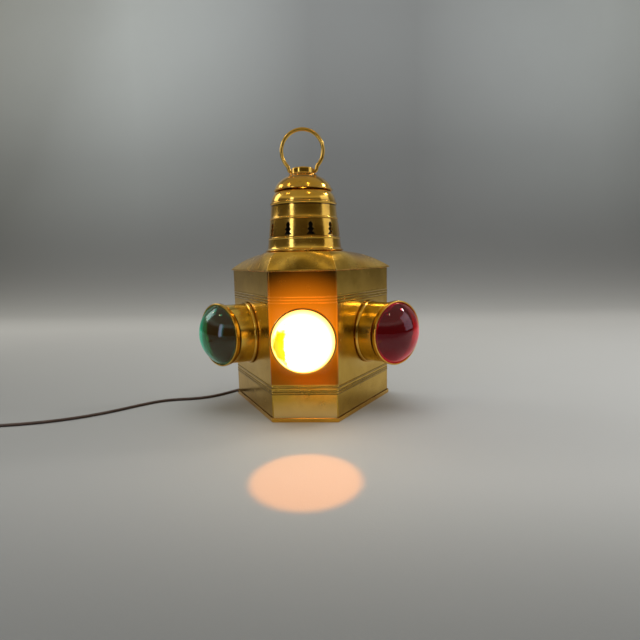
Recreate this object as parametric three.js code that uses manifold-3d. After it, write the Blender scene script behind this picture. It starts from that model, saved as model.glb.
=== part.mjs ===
// Three-lens brass combination lantern, wired as a lamp.
// Millimetres, +Z up. The origin is on the floor under the chimney's axis, and the clear lens faces -Y.
import * as THREE from "three";
import { mergeVertices } from "three/addons/utils/BufferGeometryUtils.js";
import Module from "manifold-3d";

const wasm = await Module();
wasm.setup();

// ---- driving dimensions ----
const FRONT_Y = -52; // plane of the narrow front face
const FRONT_HALF = 40; // half the front face's width
const SIDE_LEN = 145.8; // length of each angled side face
const SIDE_ANGLE = 60; // turn from the front face to a side face, degrees
const SHEET = 1.0; // housing sheet
const SHELL_IN = 1.3; // the housing's outer surface lies this far inside the outline of the pan and the eave
const EAVE_Z = 182.2;
const ROOF_RISE = 21.9;
const NECK_R = 46.2; // roof opening under the chimney
const LENS_Z = 98.8;
const LENS_OFF = 11.3; // side lens centre, rearward from the middle of its face
const TUBE_R = 38.6;
const TUBE_LEN = 38.8; // from the side face to the middle of the mouth
const MOUTH_ANGLE = 40.5; // the tube is mitred so that its mouth turns this far from the front
const DOME_R = 39.0; // coloured lens, at the foot of its dome
const DOME_H = 21.5;
const FRONT_DOME_R = 37.0;
const FRONT_DOME_H = 30.0;
const VENTS = 10;
const VENT_TURN = 15.1; // degrees from the front to the first vent
const PIVOT_Z = 300.6; // lifting ring's cross pin
const RING_Z = 325.1;
const RING_R = 25.4;
const RING_WIRE = 2.2;
const CORD_HALF = [2.7, 1.4]; // half width and half thickness of the twin cord
const COIL_C = [-414.5, -113.6];
const COIL_R0 = 41.0; // outermost turn's centreline
const COIL_R1 = 24.0; // innermost turn's centreline

// ---- materials ----
const mat = (color, roughness, metalness, extra = {}) =>
  new THREE.MeshStandardMaterial({ color, roughness, metalness, ...extra });
const BRASS = mat(0xc79a3b, 0.22, 1);
const BRASS_DULL = mat(0xa98a4c, 0.35, 1);
const STEEL = mat(0x9a9a9a, 0.4, 1);
const RED = mat(0x8c0712, 0.06, 0, { transparent: true, opacity: 0.75 });
const GREEN = mat(0x0a6a48, 0.06, 0, { transparent: true, opacity: 0.75 });
const CLEAR = mat(0xfff2d8, 0.06, 0, { transparent: true, opacity: 0.6 });
const BULB = mat(0xfff3d0, 0.1, 0, { transparent: true, opacity: 0.6 });
const RUBBER = mat(0x1d1a18, 0.7, 0);
const CORD = mat(0x2a1a12, 0.55, 0);

// ---- geometry helpers ----
const rad = (d) => (d * Math.PI) / 180;

function outward(g) {
  const p = g.attributes.position, ix = g.index.array;
  let v = 0;
  const a = new THREE.Vector3(), b = new THREE.Vector3(), c = new THREE.Vector3();
  for (let i = 0; i < ix.length; i += 3) {
    a.fromBufferAttribute(p, ix[i]);
    b.fromBufferAttribute(p, ix[i + 1]);
    c.fromBufferAttribute(p, ix[i + 2]);
    v += a.dot(b.cross(c));
  }
  if (v < 0) for (let i = 0; i < ix.length; i += 3) [ix[i + 1], ix[i + 2]] = [ix[i + 2], ix[i + 1]];
  return g;
}
function clean(g) {
  const n = g.clone();
  n.deleteAttribute("normal");
  n.deleteAttribute("uv");
  return outward(mergeVertices(n, 1e-4));
}
function solid(g) {
  const m = clean(g);
  return new wasm.Manifold(
    new wasm.Mesh({
      numProp: 3,
      vertProperties: m.attributes.position.array,
      triVerts: new Uint32Array(m.index.array),
    }),
  );
}
function geo(s) {
  const m = s.getMesh();
  const v = new Float32Array(m.numVert * 3);
  for (let i = 0; i < m.numVert; i++)
    v.set(m.vertProperties.subarray(i * m.numProp, i * m.numProp + 3), i * 3);
  const g = new THREE.BufferGeometry();
  g.setAttribute("position", new THREE.BufferAttribute(v, 3));
  g.setIndex(new THREE.BufferAttribute(new Uint32Array(m.triVerts), 1));
  return g;
}
const cut = (a, ...bs) => geo(bs.reduce((s, b) => s.subtract(solid(b)), solid(a)));
const join = (a, ...bs) => geo(bs.reduce((s, b) => s.add(solid(b)), solid(a)));

// a turned shape about Z from a profile of [radius, height] that closes on itself or starts and ends on the axis
function turned(profile, n = 20) {
  const pts = profile.map(([r, z]) => new THREE.Vector2(r, z));
  if (profile[0][0] > 1e-6) pts.push(pts[0].clone());
  return clean(new THREE.LatheGeometry(pts, n).rotateX(Math.PI / 2));
}
const towardFront = (g) => g.rotateX(Math.PI / 2); // +Z of a turned shape to -Y
const towardRear = (g) => g.rotateX(-Math.PI / 2); // +Z to +Y
const rod = (r, h, n = 16) => new THREE.CylinderGeometry(r, r, h, n).rotateX(Math.PI / 2);
const block = (x0, y0, z0, x1, y1, z1) =>
  new THREE.BoxGeometry(x1 - x0, y1 - y0, z1 - z0).translate((x0 + x1) / 2, (y0 + y1) / 2, (z0 + z1) / 2);

// closed strip of rings: each ring has the same number of points, and the last joins the first
function ringLoop(rings) {
  const n = rings[0].length, m = rings.length, v = [], ix = [];
  rings.forEach((r) => r.forEach((p) => v.push(...p)));
  for (let i = 0; i < m; i++)
    for (let j = 0; j < n; j++) {
      const a = i * n + j, b = i * n + ((j + 1) % n);
      const c = ((i + 1) % m) * n + j, d = ((i + 1) % m) * n + ((j + 1) % n);
      ix.push(a, b, d, a, d, c);
    }
  const g = new THREE.BufferGeometry();
  g.setAttribute("position", new THREE.Float32BufferAttribute(v, 3));
  g.setIndex(ix);
  return outward(g);
}

// ---- plan: a narrow front face, two angled sides and a flat back ----
const SX = SIDE_LEN * Math.cos(rad(SIDE_ANGLE)), SY = SIDE_LEN * Math.sin(rad(SIDE_ANGLE));
const BACK_Y = FRONT_Y + SY, BACK_HALF = FRONT_HALF + SX;
const PLAN = [[-FRONT_HALF, FRONT_Y], [FRONT_HALF, FRONT_Y], [BACK_HALF, BACK_Y], [-BACK_HALF, BACK_Y]];
// the outline moved inwards by off, corners mitred
function plan(off) {
  const n = PLAN.length;
  return PLAN.map((p, i) => {
    const a = PLAN[(i + n - 1) % n], b = PLAN[(i + 1) % n];
    const n1 = new THREE.Vector2(-(p[1] - a[1]), p[0] - a[0]).normalize();
    const n2 = new THREE.Vector2(-(b[1] - p[1]), b[0] - p[0]).normalize();
    const k = off / (1 + n1.dot(n2));
    return [p[0] + (n1.x + n2.x) * k, p[1] + (n1.y + n2.y) * k];
  });
}
// a wall that follows the outline: profile of [inset, z], closed on itself
const walled = (profile) => ringLoop(profile.map(([o, z]) => plan(o).map(([x, y]) => [x, y, z])));
const planShape = (off) => new THREE.Shape(plan(off).map(([x, y]) => new THREE.Vector2(x, y)));

const lamp = new THREE.Group();
function add(name, g, material, parent = lamp) {
  const m = new THREE.Mesh(g, material);
  m.name = name;
  parent.add(m);
  return m;
}

// ---- base pan: a shallow tray with the housing standing in it ----
{
  const floor = new THREE.ExtrudeGeometry(planShape(0), { depth: 1.2, bevelEnabled: false });
  const rim = walled([[0, 0], [0, 4.6], [0.35, 5.0], [1.0, 5.0], [1.0, 0]]);
  const hole = (x) => rod(1.9, 6, 16).translate(x, 0, 1);
  add("base_pan", cut(join(floor, rim), hole(-26), hole(26)), BRASS);
}

// ---- housing: bent sheet with two groups of pressed beads ----
{
  const b = SHELL_IN, o = [], z0 = 1.5, z1 = EAVE_Z - 1.6;
  o.push([b, z0]);
  for (const z of [35.4, 38.5, 43.4, 144.2, 147.7, 151.1])
    o.push([b, z - 1.1], [b - 0.55, z - 0.4], [b - 0.55, z + 0.4], [b, z + 1.1]);
  o.push([b, z1], [b + SHEET, z1], [b + SHEET, z0]);
  const ang = (s) => {
    const g = rod(TUBE_R + 0.35, 20, 30);
    towardFront(g);
    g.rotateZ(rad(SIDE_ANGLE) * s).translate(s * LENS_C[0], LENS_C[1], LENS_Z);
    return g;
  };
  const LENS_C = lensCentre();
  const front = towardFront(rod(33.5, 10, 28)).translate(0, FRONT_Y + 2, LENS_Z + 0.4);
  const door = block(-50, BACK_Y - 6, 32, 50, BACK_Y + 6, 148);
  const gland = towardFront(rod(4.6, 12, 20)).translate(-38, BACK_Y, 12);
  const stud = towardFront(rod(1.5, 12, 12)).translate(-61, BACK_Y, 90);
  add("body_shell", cut(walled(o), ang(1), ang(-1), front, door, gland, stud), BRASS_DULL);
}
function lensCentre() {
  const t = SIDE_LEN / 2 + LENS_OFF;
  return [FRONT_HALF + t * Math.cos(rad(SIDE_ANGLE)), FRONT_Y + t * Math.sin(rad(SIDE_ANGLE))];
}

// ---- roof: rises from the straight eaves to a round neck ----
{
  // distance from the axis to the outline along direction a
  const reach = (a, off) => {
    const q = plan(off), dx = Math.cos(a), dy = Math.sin(a);
    let best = 0;
    q.forEach((p, i) => {
      const e = q[(i + 1) % q.length], ex = e[0] - p[0], ey = e[1] - p[1];
      const den = dx * ey - dy * ex;
      if (Math.abs(den) < 1e-9) return;
      const t = (p[0] * ey - p[1] * ex) / den, u = (p[0] * dy - p[1] * dx) / den;
      if (t > 0 && u > -1e-9 && u < 1 + 1e-9) best = t;
    });
    return best;
  };
  const angles = [];
  const corners = PLAN.map(([x, y]) => (Math.atan2(y, x) + 2 * Math.PI) % (2 * Math.PI)).sort((a, b) => a - b);
  corners.forEach((a, i) => {
    const b = i + 1 < corners.length ? corners[i + 1] : corners[0] + 2 * Math.PI;
    const n = Math.max(4, Math.round((b - a) / rad(11)));
    for (let k = 0; k < n; k++) angles.push(a + ((b - a) * k) / n);
  });
  const ring = (t, z, off, drop) =>
    angles.map((a) => {
      const R = reach(a, off), r = R + (NECK_R - off - R) * t;
      return [r * Math.cos(a), r * Math.sin(a), z - drop];
    });
  const rise = (t) => ROOF_RISE * (1 - Math.pow(1 - t, 2.1));
  const T = [0, 0.06, 0.15, 0.28, 0.45, 0.68, 1];
  const rings = [ring(0, EAVE_Z - 1.3, 0, 0)];
  T.forEach((t) => rings.push(ring(t, EAVE_Z + rise(t), 0, 0)));
  [...T].reverse().forEach((t) => rings.push(ring(t, EAVE_Z + rise(t), 1.1, 1.1)));
  rings.push(ring(0, EAVE_Z - 1.3, 1.1, 0));
  add("roof", ringLoop(rings), BRASS);
}

// ---- chimney: stacked spun tiers ----
const wall = 1.1;
add("chimney_base", turned([
  [45.9, 204.5], [47.6, 204.5], [48.3, 205.0], [48.3, 205.9], [47.4, 206.5], [46.3, 207.4],
  [45.6, 211], [44.6, 218.6], [45.0, 219.6], [44.9, 220.6], [44.0, 221.2], [42.9, 221.2], [43.6, 216], [44.5, 208.5], [44.9, 205.6],
], 24), BRASS);
{
  // a vent: pointed head, neck, shoulder, waist and a flared foot
  const half = [[0, 238.1], [2.3, 235.6], [2.6, 233.6], [1.8, 231.6], [3.9, 229.4], [2.3, 226.8], [5.0, 223.0]];
  const s = new THREE.Shape([...half.map(([x, z]) => new THREE.Vector2(x, z)), ...half.slice(1).reverse().map(([x, z]) => new THREE.Vector2(-x, z))]);
  const cutters = [];
  for (let i = 0; i < VENTS; i++)
    cutters.push(
      new THREE.ExtrudeGeometry(s, { depth: 20, bevelEnabled: false })
        .rotateX(Math.PI / 2).translate(0, -32, 0).rotateZ(rad(VENT_TURN + (360 / VENTS) * i)),
    );
  add("vent_band", cut(turned([[43.8, 221.5], [43.7, 226], [42.0, 241.6], [40.9, 241.6], [42.6, 226], [42.7, 221.5]], 30), ...cutters), BRASS);
}
add("chimney_upper", turned([
  [41.7, 241.9], [42.4, 242.4], [42.5, 243.6], [41.6, 244.4], [41.3, 247], [40.2, 259.8], [40.9, 260.6], [41.2, 261.7], [40.6, 262.6], [38.9, 262.6], [39.1, 259], [40.2, 246], [40.6, 241.9],
], 24), BRASS);
add("chimney_hood", turned([
  [40.0, 262.9], [39.4, 266.5], [38.0, 270.5], [35.9, 273.8], [33.6, 276.4], [32.5, 276.4], [34.9, 273.2], [36.9, 270], [38.3, 266.2], [38.9, 262.9],
], 24), BRASS);
add("chimney_cap", turned([
  [34.8, 276.9], [36.1, 277.3], [36.3, 278.3], [35.4, 279.0], [33.5, 283.2], [29.0, 288.6], [23.5, 292.6], [18.6, 295.0], [16.9, 295.0], [16.9, 293.8], [22.8, 291.4], [28.2, 287.6], [32.5, 282.5], [34.2, 278.4],
], 24), BRASS);
add("inner_flue", turned([
  [33.0, 199.0], [33.0, 258.0], [35.6, 262.0], [35.2, 262.4], [32.2, 258.4], [32.2, 199.0],
], 24), BRASS_DULL);
{
  const collar = turned([[0, 295.4], [17.8, 295.4], [17.9, 296.3], [16.0, 296.8], [14.0, 297.4], [13.8, 303.6], [13.0, 304.5], [0, 304.5]], 24);
  const hole = new THREE.CylinderGeometry(2.9, 2.9, 60, 20).rotateZ(Math.PI / 2).translate(0, 0, PIVOT_Z);
  add("finial_collar", cut(collar, hole), BRASS);
}
// ---- lifting ring: bent wire whose ends meet in the collar's cross hole ----
{
  const pts = [];
  const ang0 = Math.acos((307.2 - RING_Z) / RING_R); // from straight up
  for (let i = 0; i <= 22; i++) {
    const a = -ang0 + (2 * ang0 * i) / 22;
    pts.push([RING_R * Math.sin(a), RING_Z + RING_R * Math.cos(a)]);
  }
  for (const p of [[17.35, 304.6], [16.7, 302.4], [15.6, 301.1], [14.2, 300.6], [7, 300.6], [-7, 300.6], [-14.2, 300.6], [-15.6, 301.1], [-16.7, 302.4], [-17.35, 304.6]]) pts.push(p);
  const N = pts.length, rings = [];
  for (let i = 0; i < N; i++) {
    const p = pts[i], a = pts[(i + N - 1) % N], b = pts[(i + 1) % N];
    const t = new THREE.Vector2(b[0] - a[0], b[1] - a[1]).normalize(), nx = -t.y, nz = t.x;
    const ring = [];
    for (let k = 0; k < 8; k++) {
      const f = (2 * Math.PI * k) / 8;
      ring.push([p[0] + RING_WIRE * Math.cos(f) * nx, RING_WIRE * Math.sin(f), p[1] + RING_WIRE * Math.cos(f) * nz]);
    }
    rings.push(ring);
  }
  add("lifting_ring", ringLoop(rings), BRASS);
}

// ---- lenses: coloured ones on tubes, the clear one on the front face ----
const dome = (r0, h, z, n, k) => {
  const R = (r0 * r0 + h * h) / (2 * h), out = [], e = Math.asin(Math.min(1, r0 / R));
  const end = h > R ? Math.PI - e : e;
  for (let i = 0; i <= k; i++) {
    const a = end * (1 - i / k);
    out.push([i === k ? 0 : R * Math.sin(a), z + h - R + R * Math.cos(a)]);
  }
  return out;
};
function sideLens(side, label, material) {
  const [cx, cy] = lensCentre(), turn = rad(SIDE_ANGLE), mouth = rad(MOUTH_ANGLE);
  const g = new THREE.Group(), m = new THREE.Group();
  g.position.set(side * cx, cy, LENS_Z);
  g.rotation.z = turn * side;
  m.position.set(side * (cx + TUBE_LEN * Math.sin(turn)), cy - TUBE_LEN * Math.cos(turn), LENS_Z);
  m.rotation.z = mouth * side;
  lamp.add(g, m);
  const beyond = block(-90, -90, -60, 90, 5.3, 60);
  beyond.rotateZ((mouth - turn) * side).translate(0, -TUBE_LEN, 0);
  const tube = towardFront(turned([[TUBE_R, -9], [TUBE_R, 70], [TUBE_R - 1, 70], [TUBE_R - 1, -9]], 24));
  add(label + "_tube", cut(tube, beyond), BRASS, g);
  add(label + "_base_ring", towardFront(turned([[38.95, -0.4], [41.0, -0.4], [41.2, 0.6], [40.6, 2.2], [39.6, 3.0], [38.95, 3.0]], 24)), BRASS, g);
  add(label + "_gasket", towardFront(turned([[37.8, -4.3], [40.0, -4.3], [40.0, -3.5], [37.8, -3.5]], 24)), RUBBER, m);
  add(label + "_bezel", towardFront(turned([[36.6, -5.2], [41.2, -5.2], [41.4, 0.2], [40.8, 1.0], [39.4, 1.0], [39.4, 0.0], [40.4, -0.2], [40.4, -4.4], [36.6, -4.4]], 24)), BRASS, m);
  const bowl = dome(35.6, 18.0, -0.5, 40, 5).reverse();
  add(label + "_lens", towardFront(turned([[35.6, -3.2], [40.1, -3.2], [40.1, -0.5], ...dome(DOME_R, DOME_H, -0.5, 40, 5), ...bowl], 24)), material, m);
}
sideLens(1, "port", RED);
sideLens(-1, "starboard", GREEN);
{
  const g = new THREE.Group();
  g.position.set(0, FRONT_Y, LENS_Z + 0.4);
  lamp.add(g);
  add("front_gasket", towardFront(turned([[34.5, -1.0], [38.2, -1.0], [38.2, -0.3], [34.5, -0.3]], 24)), RUBBER, g);
  add("front_bezel", towardFront(turned([[38.5, -0.9], [39.6, -0.9], [39.6, 3.2], [39.0, 3.9], [37.4, 3.9], [37.4, 3.0], [38.5, 2.8]], 24)), BRASS, g);
  add("front_lens", towardFront(turned([[0, 0.0], [38.2, 0.0], [38.2, 2.5], ...dome(FRONT_DOME_R, FRONT_DOME_H, 2.5, 40, 5)], 24)), CLEAR, g);
}

// ---- rear door on a pinned hinge, with a turn button ----
const WALL_Y = BACK_Y - SHELL_IN; // outer surface of the rear wall
const DOOR_Y = WALL_Y + 0.85; // the door lies over the pressed beads
const HINGE = [57.5, BACK_Y + 1.6];
add("rear_door", cut(block(-54, DOOR_Y, 26, 54, DOOR_Y + 1.1, 154), block(-49.5, DOOR_Y - 1, 30.5, 49.5, DOOR_Y + 0.35, 149.5)), BRASS);
{
  const K = [[60, 71.6], [72.2, 83.8], [84.4, 95.6], [96.2, 107.8], [108.4, 120]];
  const eye = (z0, z1) => rod(2.5, z1 - z0, 20).translate(HINGE[0], HINGE[1], (z0 + z1) / 2);
  const bore = rod(1.5, 100, 16).translate(HINGE[0], HINGE[1], 90);
  const leafY = DOOR_Y + 1.45;
  const doorLeaf = block(28, leafY, 60, HINGE[0] - 0.4, leafY + 1.0, 120);
  const wallLeaf = block(HINGE[0] + 0.4, WALL_Y + 0.3, 60, 84, WALL_Y + 1.3, 120);
  const clear = (z0, z1) => rod(3.1, z1 - z0, 20).translate(HINGE[0], HINGE[1], (z0 + z1) / 2);
  const web = (x0, x1, z0, z1, y0, y1) => block(x0, y0, z0, x1, y1, z1);
  let d = solid(doorLeaf);
  for (const i of [0, 2, 4]) d = d.subtract(solid(clear(K[i][0] - 0.4, K[i][1] + 0.4)));
  for (const i of [1, 3]) d = d.add(solid(eye(...K[i])));
  d = d.subtract(solid(bore));
  add("hinge_door_leaf", geo(d), BRASS);
  let w = solid(wallLeaf);
  for (const i of [1, 3]) w = w.subtract(solid(clear(K[i][0] - 0.4, K[i][1] + 0.4)));
  for (const i of [0, 2, 4]) w = w.add(solid(eye(...K[i]))).add(solid(web(HINGE[0] + 0.4, HINGE[0] + 3.2, K[i][0], K[i][1], WALL_Y + 0.3, HINGE[1])));
  w = w.subtract(solid(bore));
  add("hinge_wall_leaf", geo(w), BRASS);
  add("hinge_pin", turned([[0, 58.2], [1.9, 58.2], [1.9, 59.6], [1.2, 59.6], [1.2, 120.4], [1.9, 120.4], [1.9, 121.8], [0, 121.8]], 16).translate(HINGE[0], HINGE[1], 0), STEEL);
  add("door_knob", towardRear(turned([[0, 0], [3.4, 0], [3.4, 0.9], [2.0, 1.8], [2.2, 4.2], [4.2, 6.2], [4.4, 7.8], [3.0, 9.2], [0, 9.6]], 14)).translate(-41, DOOR_Y + 1.4, 90), BRASS);
}
{
  const y = DOOR_Y + 1.75;
  const bar = new THREE.Shape();
  bar.moveTo(-3.6, -9);
  bar.absarc(0, -9, 3.6, Math.PI, 2 * Math.PI, false);
  bar.lineTo(3.6, 9);
  bar.absarc(0, 9, 3.6, 0, Math.PI, false);
  // the bar stands upright beside the door, clear of its edge
  const b = new THREE.ExtrudeGeometry(bar, { depth: 1.5, bevelEnabled: false, curveSegments: 6 }).rotateX(Math.PI / 2).rotateZ(Math.PI);
  add("turn_button", cut(b.translate(-61, y, 90), towardFront(rod(1.9, 20, 12)).translate(-61, y, 90)), BRASS);
  add("turn_button_stud", towardRear(turned([[0, -3.4], [1.2, -3.4], [1.2, 0.0], [3.0, 0.0], [3.0, 2.0], [1.5, 2.0], [1.5, 4.2], [3.2, 4.2], [2.6, 5.4], [0, 5.7]], 12)).translate(-61, WALL_Y + 0.3, 90), BRASS);
}

// ---- lamp holder: strap, nipple, socket with a turn key, bulb ----
{
  const p = [[-33, 1.6], [-19.5, 1.6], [-19.5, 14.8], [19.5, 14.8], [19.5, 1.6], [33, 1.6], [33, 2.8], [20.7, 2.8], [20.7, 16], [-20.7, 16], [-20.7, 2.8], [-33, 2.8]];
  const s = new THREE.Shape(p.map(([x, z]) => new THREE.Vector2(x, z)));
  const strap = new THREE.ExtrudeGeometry(s, { depth: 18, bevelEnabled: false }).rotateX(Math.PI / 2).translate(0, 9, 0);
  add("lamp_bracket", cut(strap, rod(5.35, 10).translate(0, 0, 15), rod(2.2, 6, 16).translate(-26, 0, 2), rod(2.2, 6, 16).translate(26, 0, 2)), STEEL);
  for (const [n, x] of [["bracket_screw_left", -26], ["bracket_screw_right", 26]])
    add(n, turned([[0, 0.5], [1.55, 0.5], [1.55, 3.15], [3.4, 3.15], [3.3, 4.4], [2.4, 5.1], [0, 5.3]], 12).translate(x, 0, 0), STEEL);
  add("threaded_nipple", turned([[3.2, 9.2], [5.0, 9.2], [5.0, 25.5], [3.2, 25.5]], 14), STEEL);
  add("lock_nut", cut(new THREE.CylinderGeometry(8.2, 8.2, 3.4, 6).rotateX(Math.PI / 2).translate(0, 0, 12.7), rod(5.35, 20).translate(0, 0, 12)), STEEL);
  const cap = turned([[5.35, 16.4], [9, 16.4], [14.5, 19.4], [17.2, 24.0], [17.2, 31.0], [16.2, 31.0], [16.2, 24.4], [13.8, 20.4], [8.8, 17.5], [5.35, 17.5]], 20);
  add("socket_cap", cut(cap, towardFront(rod(2.0, 20, 16)).translate(0, 17, 26.5)), BRASS);
  add("socket_shell", turned([[16.9, 31.4], [16.9, 66.0], [15.9, 66.0], [15.9, 31.4]], 20), BRASS);
  add("socket_insulator", turned([[0, 29.6], [14.6, 29.6], [14.6, 64.0], [13.9, 64.0], [13.9, 42.0], [0, 42.0]], 16), RUBBER);
  const key = towardRear(turned([[0, 14.6], [1.6, 14.6], [1.6, 23.5], [0, 23.5]], 14)).translate(0, 0, 26.5);
  const paddle = block(-1.4, 22.6, 20.9, 1.4, 31.5, 32.1);
  add("switch_key", join(key, paddle), RUBBER);
  add("bulb_base", turned([[0, 43.0], [3.4, 43.0], [6.5, 45.6], [13.0, 49.5], [13.2, 66.8], [12.0, 66.8], [12.0, 50.0], [0, 47.0]], 16), BRASS);
  add("bulb_glass", turned([
    [12.6, 67.2], [12.9, 71.5], [19.2, 83.0], [23.2, 96.0], [20.6, 107.5], [11.5, 116.6], [0, 119.1],
    [0, 118.0], [11.0, 115.5], [19.6, 106.9], [22.1, 96.0], [18.2, 83.4], [11.8, 71.7], [11.5, 67.2],
  ], 16), BULB);
  add("bulb_filament", turned([[0, 50.6], [3.6, 50.6], [3.6, 84], [1.2, 88], [1.2, 101], [0, 101]], 12), BULB);
}

// ---- twin cord: inside lead, gland, floor stretch, coil, tail and plug ----
const flat = () => {
  const s = new THREE.Shape(), [w, t] = CORD_HALF, P = [];
  for (const k of [-60, -20, 20, 60]) P.push([w - t + t * Math.cos(rad(k)), t * Math.sin(rad(k))]);
  for (const k of [120, 160, 200, 240]) P.push([-(w - t) + t * Math.cos(rad(k)), t * Math.sin(rad(k))]);
  P.forEach(([x, y], i) => (i ? s.lineTo(x, y) : s.moveTo(x, y)));
  return s;
};
// a flat strip that stays level: its width is always horizontal and square to the route
function strip(points, samples) {
  const c = new THREE.CatmullRomCurve3(points.map((p) => new THREE.Vector3(...p)), false, "centripetal");
  const sec = flat().getPoints(), rings = [];
  for (let i = 0; i <= samples; i++) {
    const p = c.getPointAt(i / samples), t = c.getTangentAt(i / samples);
    const w = new THREE.Vector3(-t.y, t.x, 0).normalize(), u = new THREE.Vector3().crossVectors(t, w).normalize();
    rings.push(sec.map((q) => p.clone().addScaledVector(w, q.x).addScaledVector(u, q.y)));
  }
  const n = rings[0].length, v = rings.flat().flatMap((q) => [q.x, q.y, q.z]), ix = [];
  for (let i = 0; i < rings.length - 1; i++)
    for (let j = 0; j < n; j++) {
      const a = i * n + j, b = i * n + ((j + 1) % n);
      ix.push(a, b, b + n, a, b + n, a + n);
    }
  for (let j = 1; j < n - 1; j++) {
    ix.push(0, j + 1, j);
    const e = (rings.length - 1) * n;
    ix.push(e, e + j, e + j + 1);
  }
  const g = new THREE.BufferGeometry();
  g.setAttribute("position", new THREE.Float32BufferAttribute(v, 3));
  g.setIndex(ix);
  return outward(g);
}
const EXIT = [-38, BACK_Y + 19.9, 12]; // mouth of the strain relief
add("cord_strain_relief", towardRear(turned([[0, -4.6], [5.6, -4.6], [5.6, -2.7], [4.2, -2.7], [4.2, -0.9], [6.0, -0.9], [6.0, 0.6], [4.6, 1.4], [4.3, 8], [3.6, 14], [3.4, 19.6], [0, 19.6]], 12)).translate(EXIT[0], BACK_Y, EXIT[2]), RUBBER);
add("inner_lead", strip([[-38, BACK_Y - 5.0, 12], [-38, 62, 11.5], [-36, 48, 7], [-30, 32, 4.0], [-19, 20, 3.4], [-8, 15.5, 3.6], [-2.5, 11.5, 4.4], [-0.6, 6.5, 5.4], [0, 2.2, 6.6]], 14), CORD);
const LEAD = [
  EXIT, [-38, 98, 12], [-38.4, 104, 11.6], [-40.6, 111, 10.2], [-45.2, 117.6, 8.0], [-52, 122.6, 5.4], [-60, 125, 3.2], [-68.5, 124.4, 2.0], [-76.2, 120.4, 1.7],
  [-82.5, 114.4, 1.6], [-98, 97.4, 1.6], [-114.4, 79.2, 1.6], [-126, 65.9, 1.6], [-138.5, 53.6, 1.6], [-152, 44.6, 1.6], [-168, 39.2, 1.6], [-186, 36.0, 1.6], [-200, 32.6, 1.6], [-213, 26.4, 1.6],
  [-232.3, 10.9, 1.6], [-251, -7.2, 1.6], [-268, -21.6, 1.6], [-286, -34.2, 1.6], [-306, -44.8, 1.6], [-330, -54.2, 1.6], [-354, -60.6, 1.6], [-378, -65.0, 1.6],
  [-400, -67.6, 1.6],
];
add("cord_lead", strip(LEAD, 50), CORD);
add("cord_coil", turned([[COIL_R1 - 3.0, 0.9], [COIL_R0 + 3.1, 0.9], [COIL_R0 + 3.1, 7.1], [COIL_R1 - 3.0, 7.1]], 32).translate(COIL_C[0], COIL_C[1], 0), CORD);
{
  // a narrow strap round the coil's turns
  const [x, y] = COIL_C, m = -(COIL_R0 + COIL_R1) / 2;
  const outer = block(x - 2.5, y + m - 12.8, 0.05, x + 2.5, y + m + 12.8, 8.0);
  add("cord_tie", cut(outer, block(x - 4, y + m - 12.2, 0.5, x + 4, y + m + 12.2, 7.5)), RUBBER);
}
{
  // tail from the top layer's outermost turn to the plug
  const x = COIL_C[0] - COIL_R0, y = COIL_C[1];
  add("cord_tail", strip([[x - 0.2, y - 24.2, 5.6], [x - 0.5, y - 28, 5.75], [x - 0.8, y - 31.6, 5.95], [x - 1.1, y - 35, 6.1]], 5), CORD);
  const px = x - 1.2, py = y - 35.3;
  const o = [[-4.6, 0], [4.6, 0], [6.4, -5], [11.0, -12], [12.6, -17], [12.6, -26], [-12.6, -26], [-12.6, -17], [-11.0, -12], [-6.4, -5]];
  const sh = new THREE.Shape(o.map(([a, b]) => new THREE.Vector2(a, b)));
  add("plug_body", new THREE.ExtrudeGeometry(sh, { depth: 12.2, bevelEnabled: false }).translate(px, py, 0.2), RUBBER);
  for (const [n, d] of [["plug_blade_left", -6.35], ["plug_blade_right", 6.35]])
    add(n, block(px + d - 0.75, py - 26.3 - 16.5, 3.2, px + d + 0.75, py - 26.3, 9.4), BRASS);
}

export default lamp;
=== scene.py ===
"""Three-lens brass combination lantern wired as a lamp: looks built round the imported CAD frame. Lengths below are in millimetres and become metres in the meshes."""

import math

import bpy
import bmesh
import numpy as np
from mathutils import Matrix, Vector


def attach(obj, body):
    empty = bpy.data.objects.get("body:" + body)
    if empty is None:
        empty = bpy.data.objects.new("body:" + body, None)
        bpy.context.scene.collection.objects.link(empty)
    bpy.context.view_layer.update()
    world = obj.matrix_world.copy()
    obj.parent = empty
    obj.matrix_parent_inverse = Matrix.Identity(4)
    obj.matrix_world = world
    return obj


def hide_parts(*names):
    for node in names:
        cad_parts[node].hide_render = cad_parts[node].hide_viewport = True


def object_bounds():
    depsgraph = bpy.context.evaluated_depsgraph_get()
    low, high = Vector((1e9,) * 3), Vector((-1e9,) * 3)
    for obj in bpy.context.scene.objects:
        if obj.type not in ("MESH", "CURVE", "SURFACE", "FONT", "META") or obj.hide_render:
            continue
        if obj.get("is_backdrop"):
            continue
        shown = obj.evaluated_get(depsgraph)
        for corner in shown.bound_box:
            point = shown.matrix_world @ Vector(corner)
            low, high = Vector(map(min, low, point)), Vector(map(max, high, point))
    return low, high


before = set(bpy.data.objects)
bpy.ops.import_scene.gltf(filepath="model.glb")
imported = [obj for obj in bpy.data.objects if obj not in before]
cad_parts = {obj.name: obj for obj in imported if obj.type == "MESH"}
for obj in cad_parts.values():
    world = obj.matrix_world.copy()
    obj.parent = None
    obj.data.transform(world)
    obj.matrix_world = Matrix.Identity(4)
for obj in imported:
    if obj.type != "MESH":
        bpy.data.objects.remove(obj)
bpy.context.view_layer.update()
scene = bpy.context.scene
MM = 0.001

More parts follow.
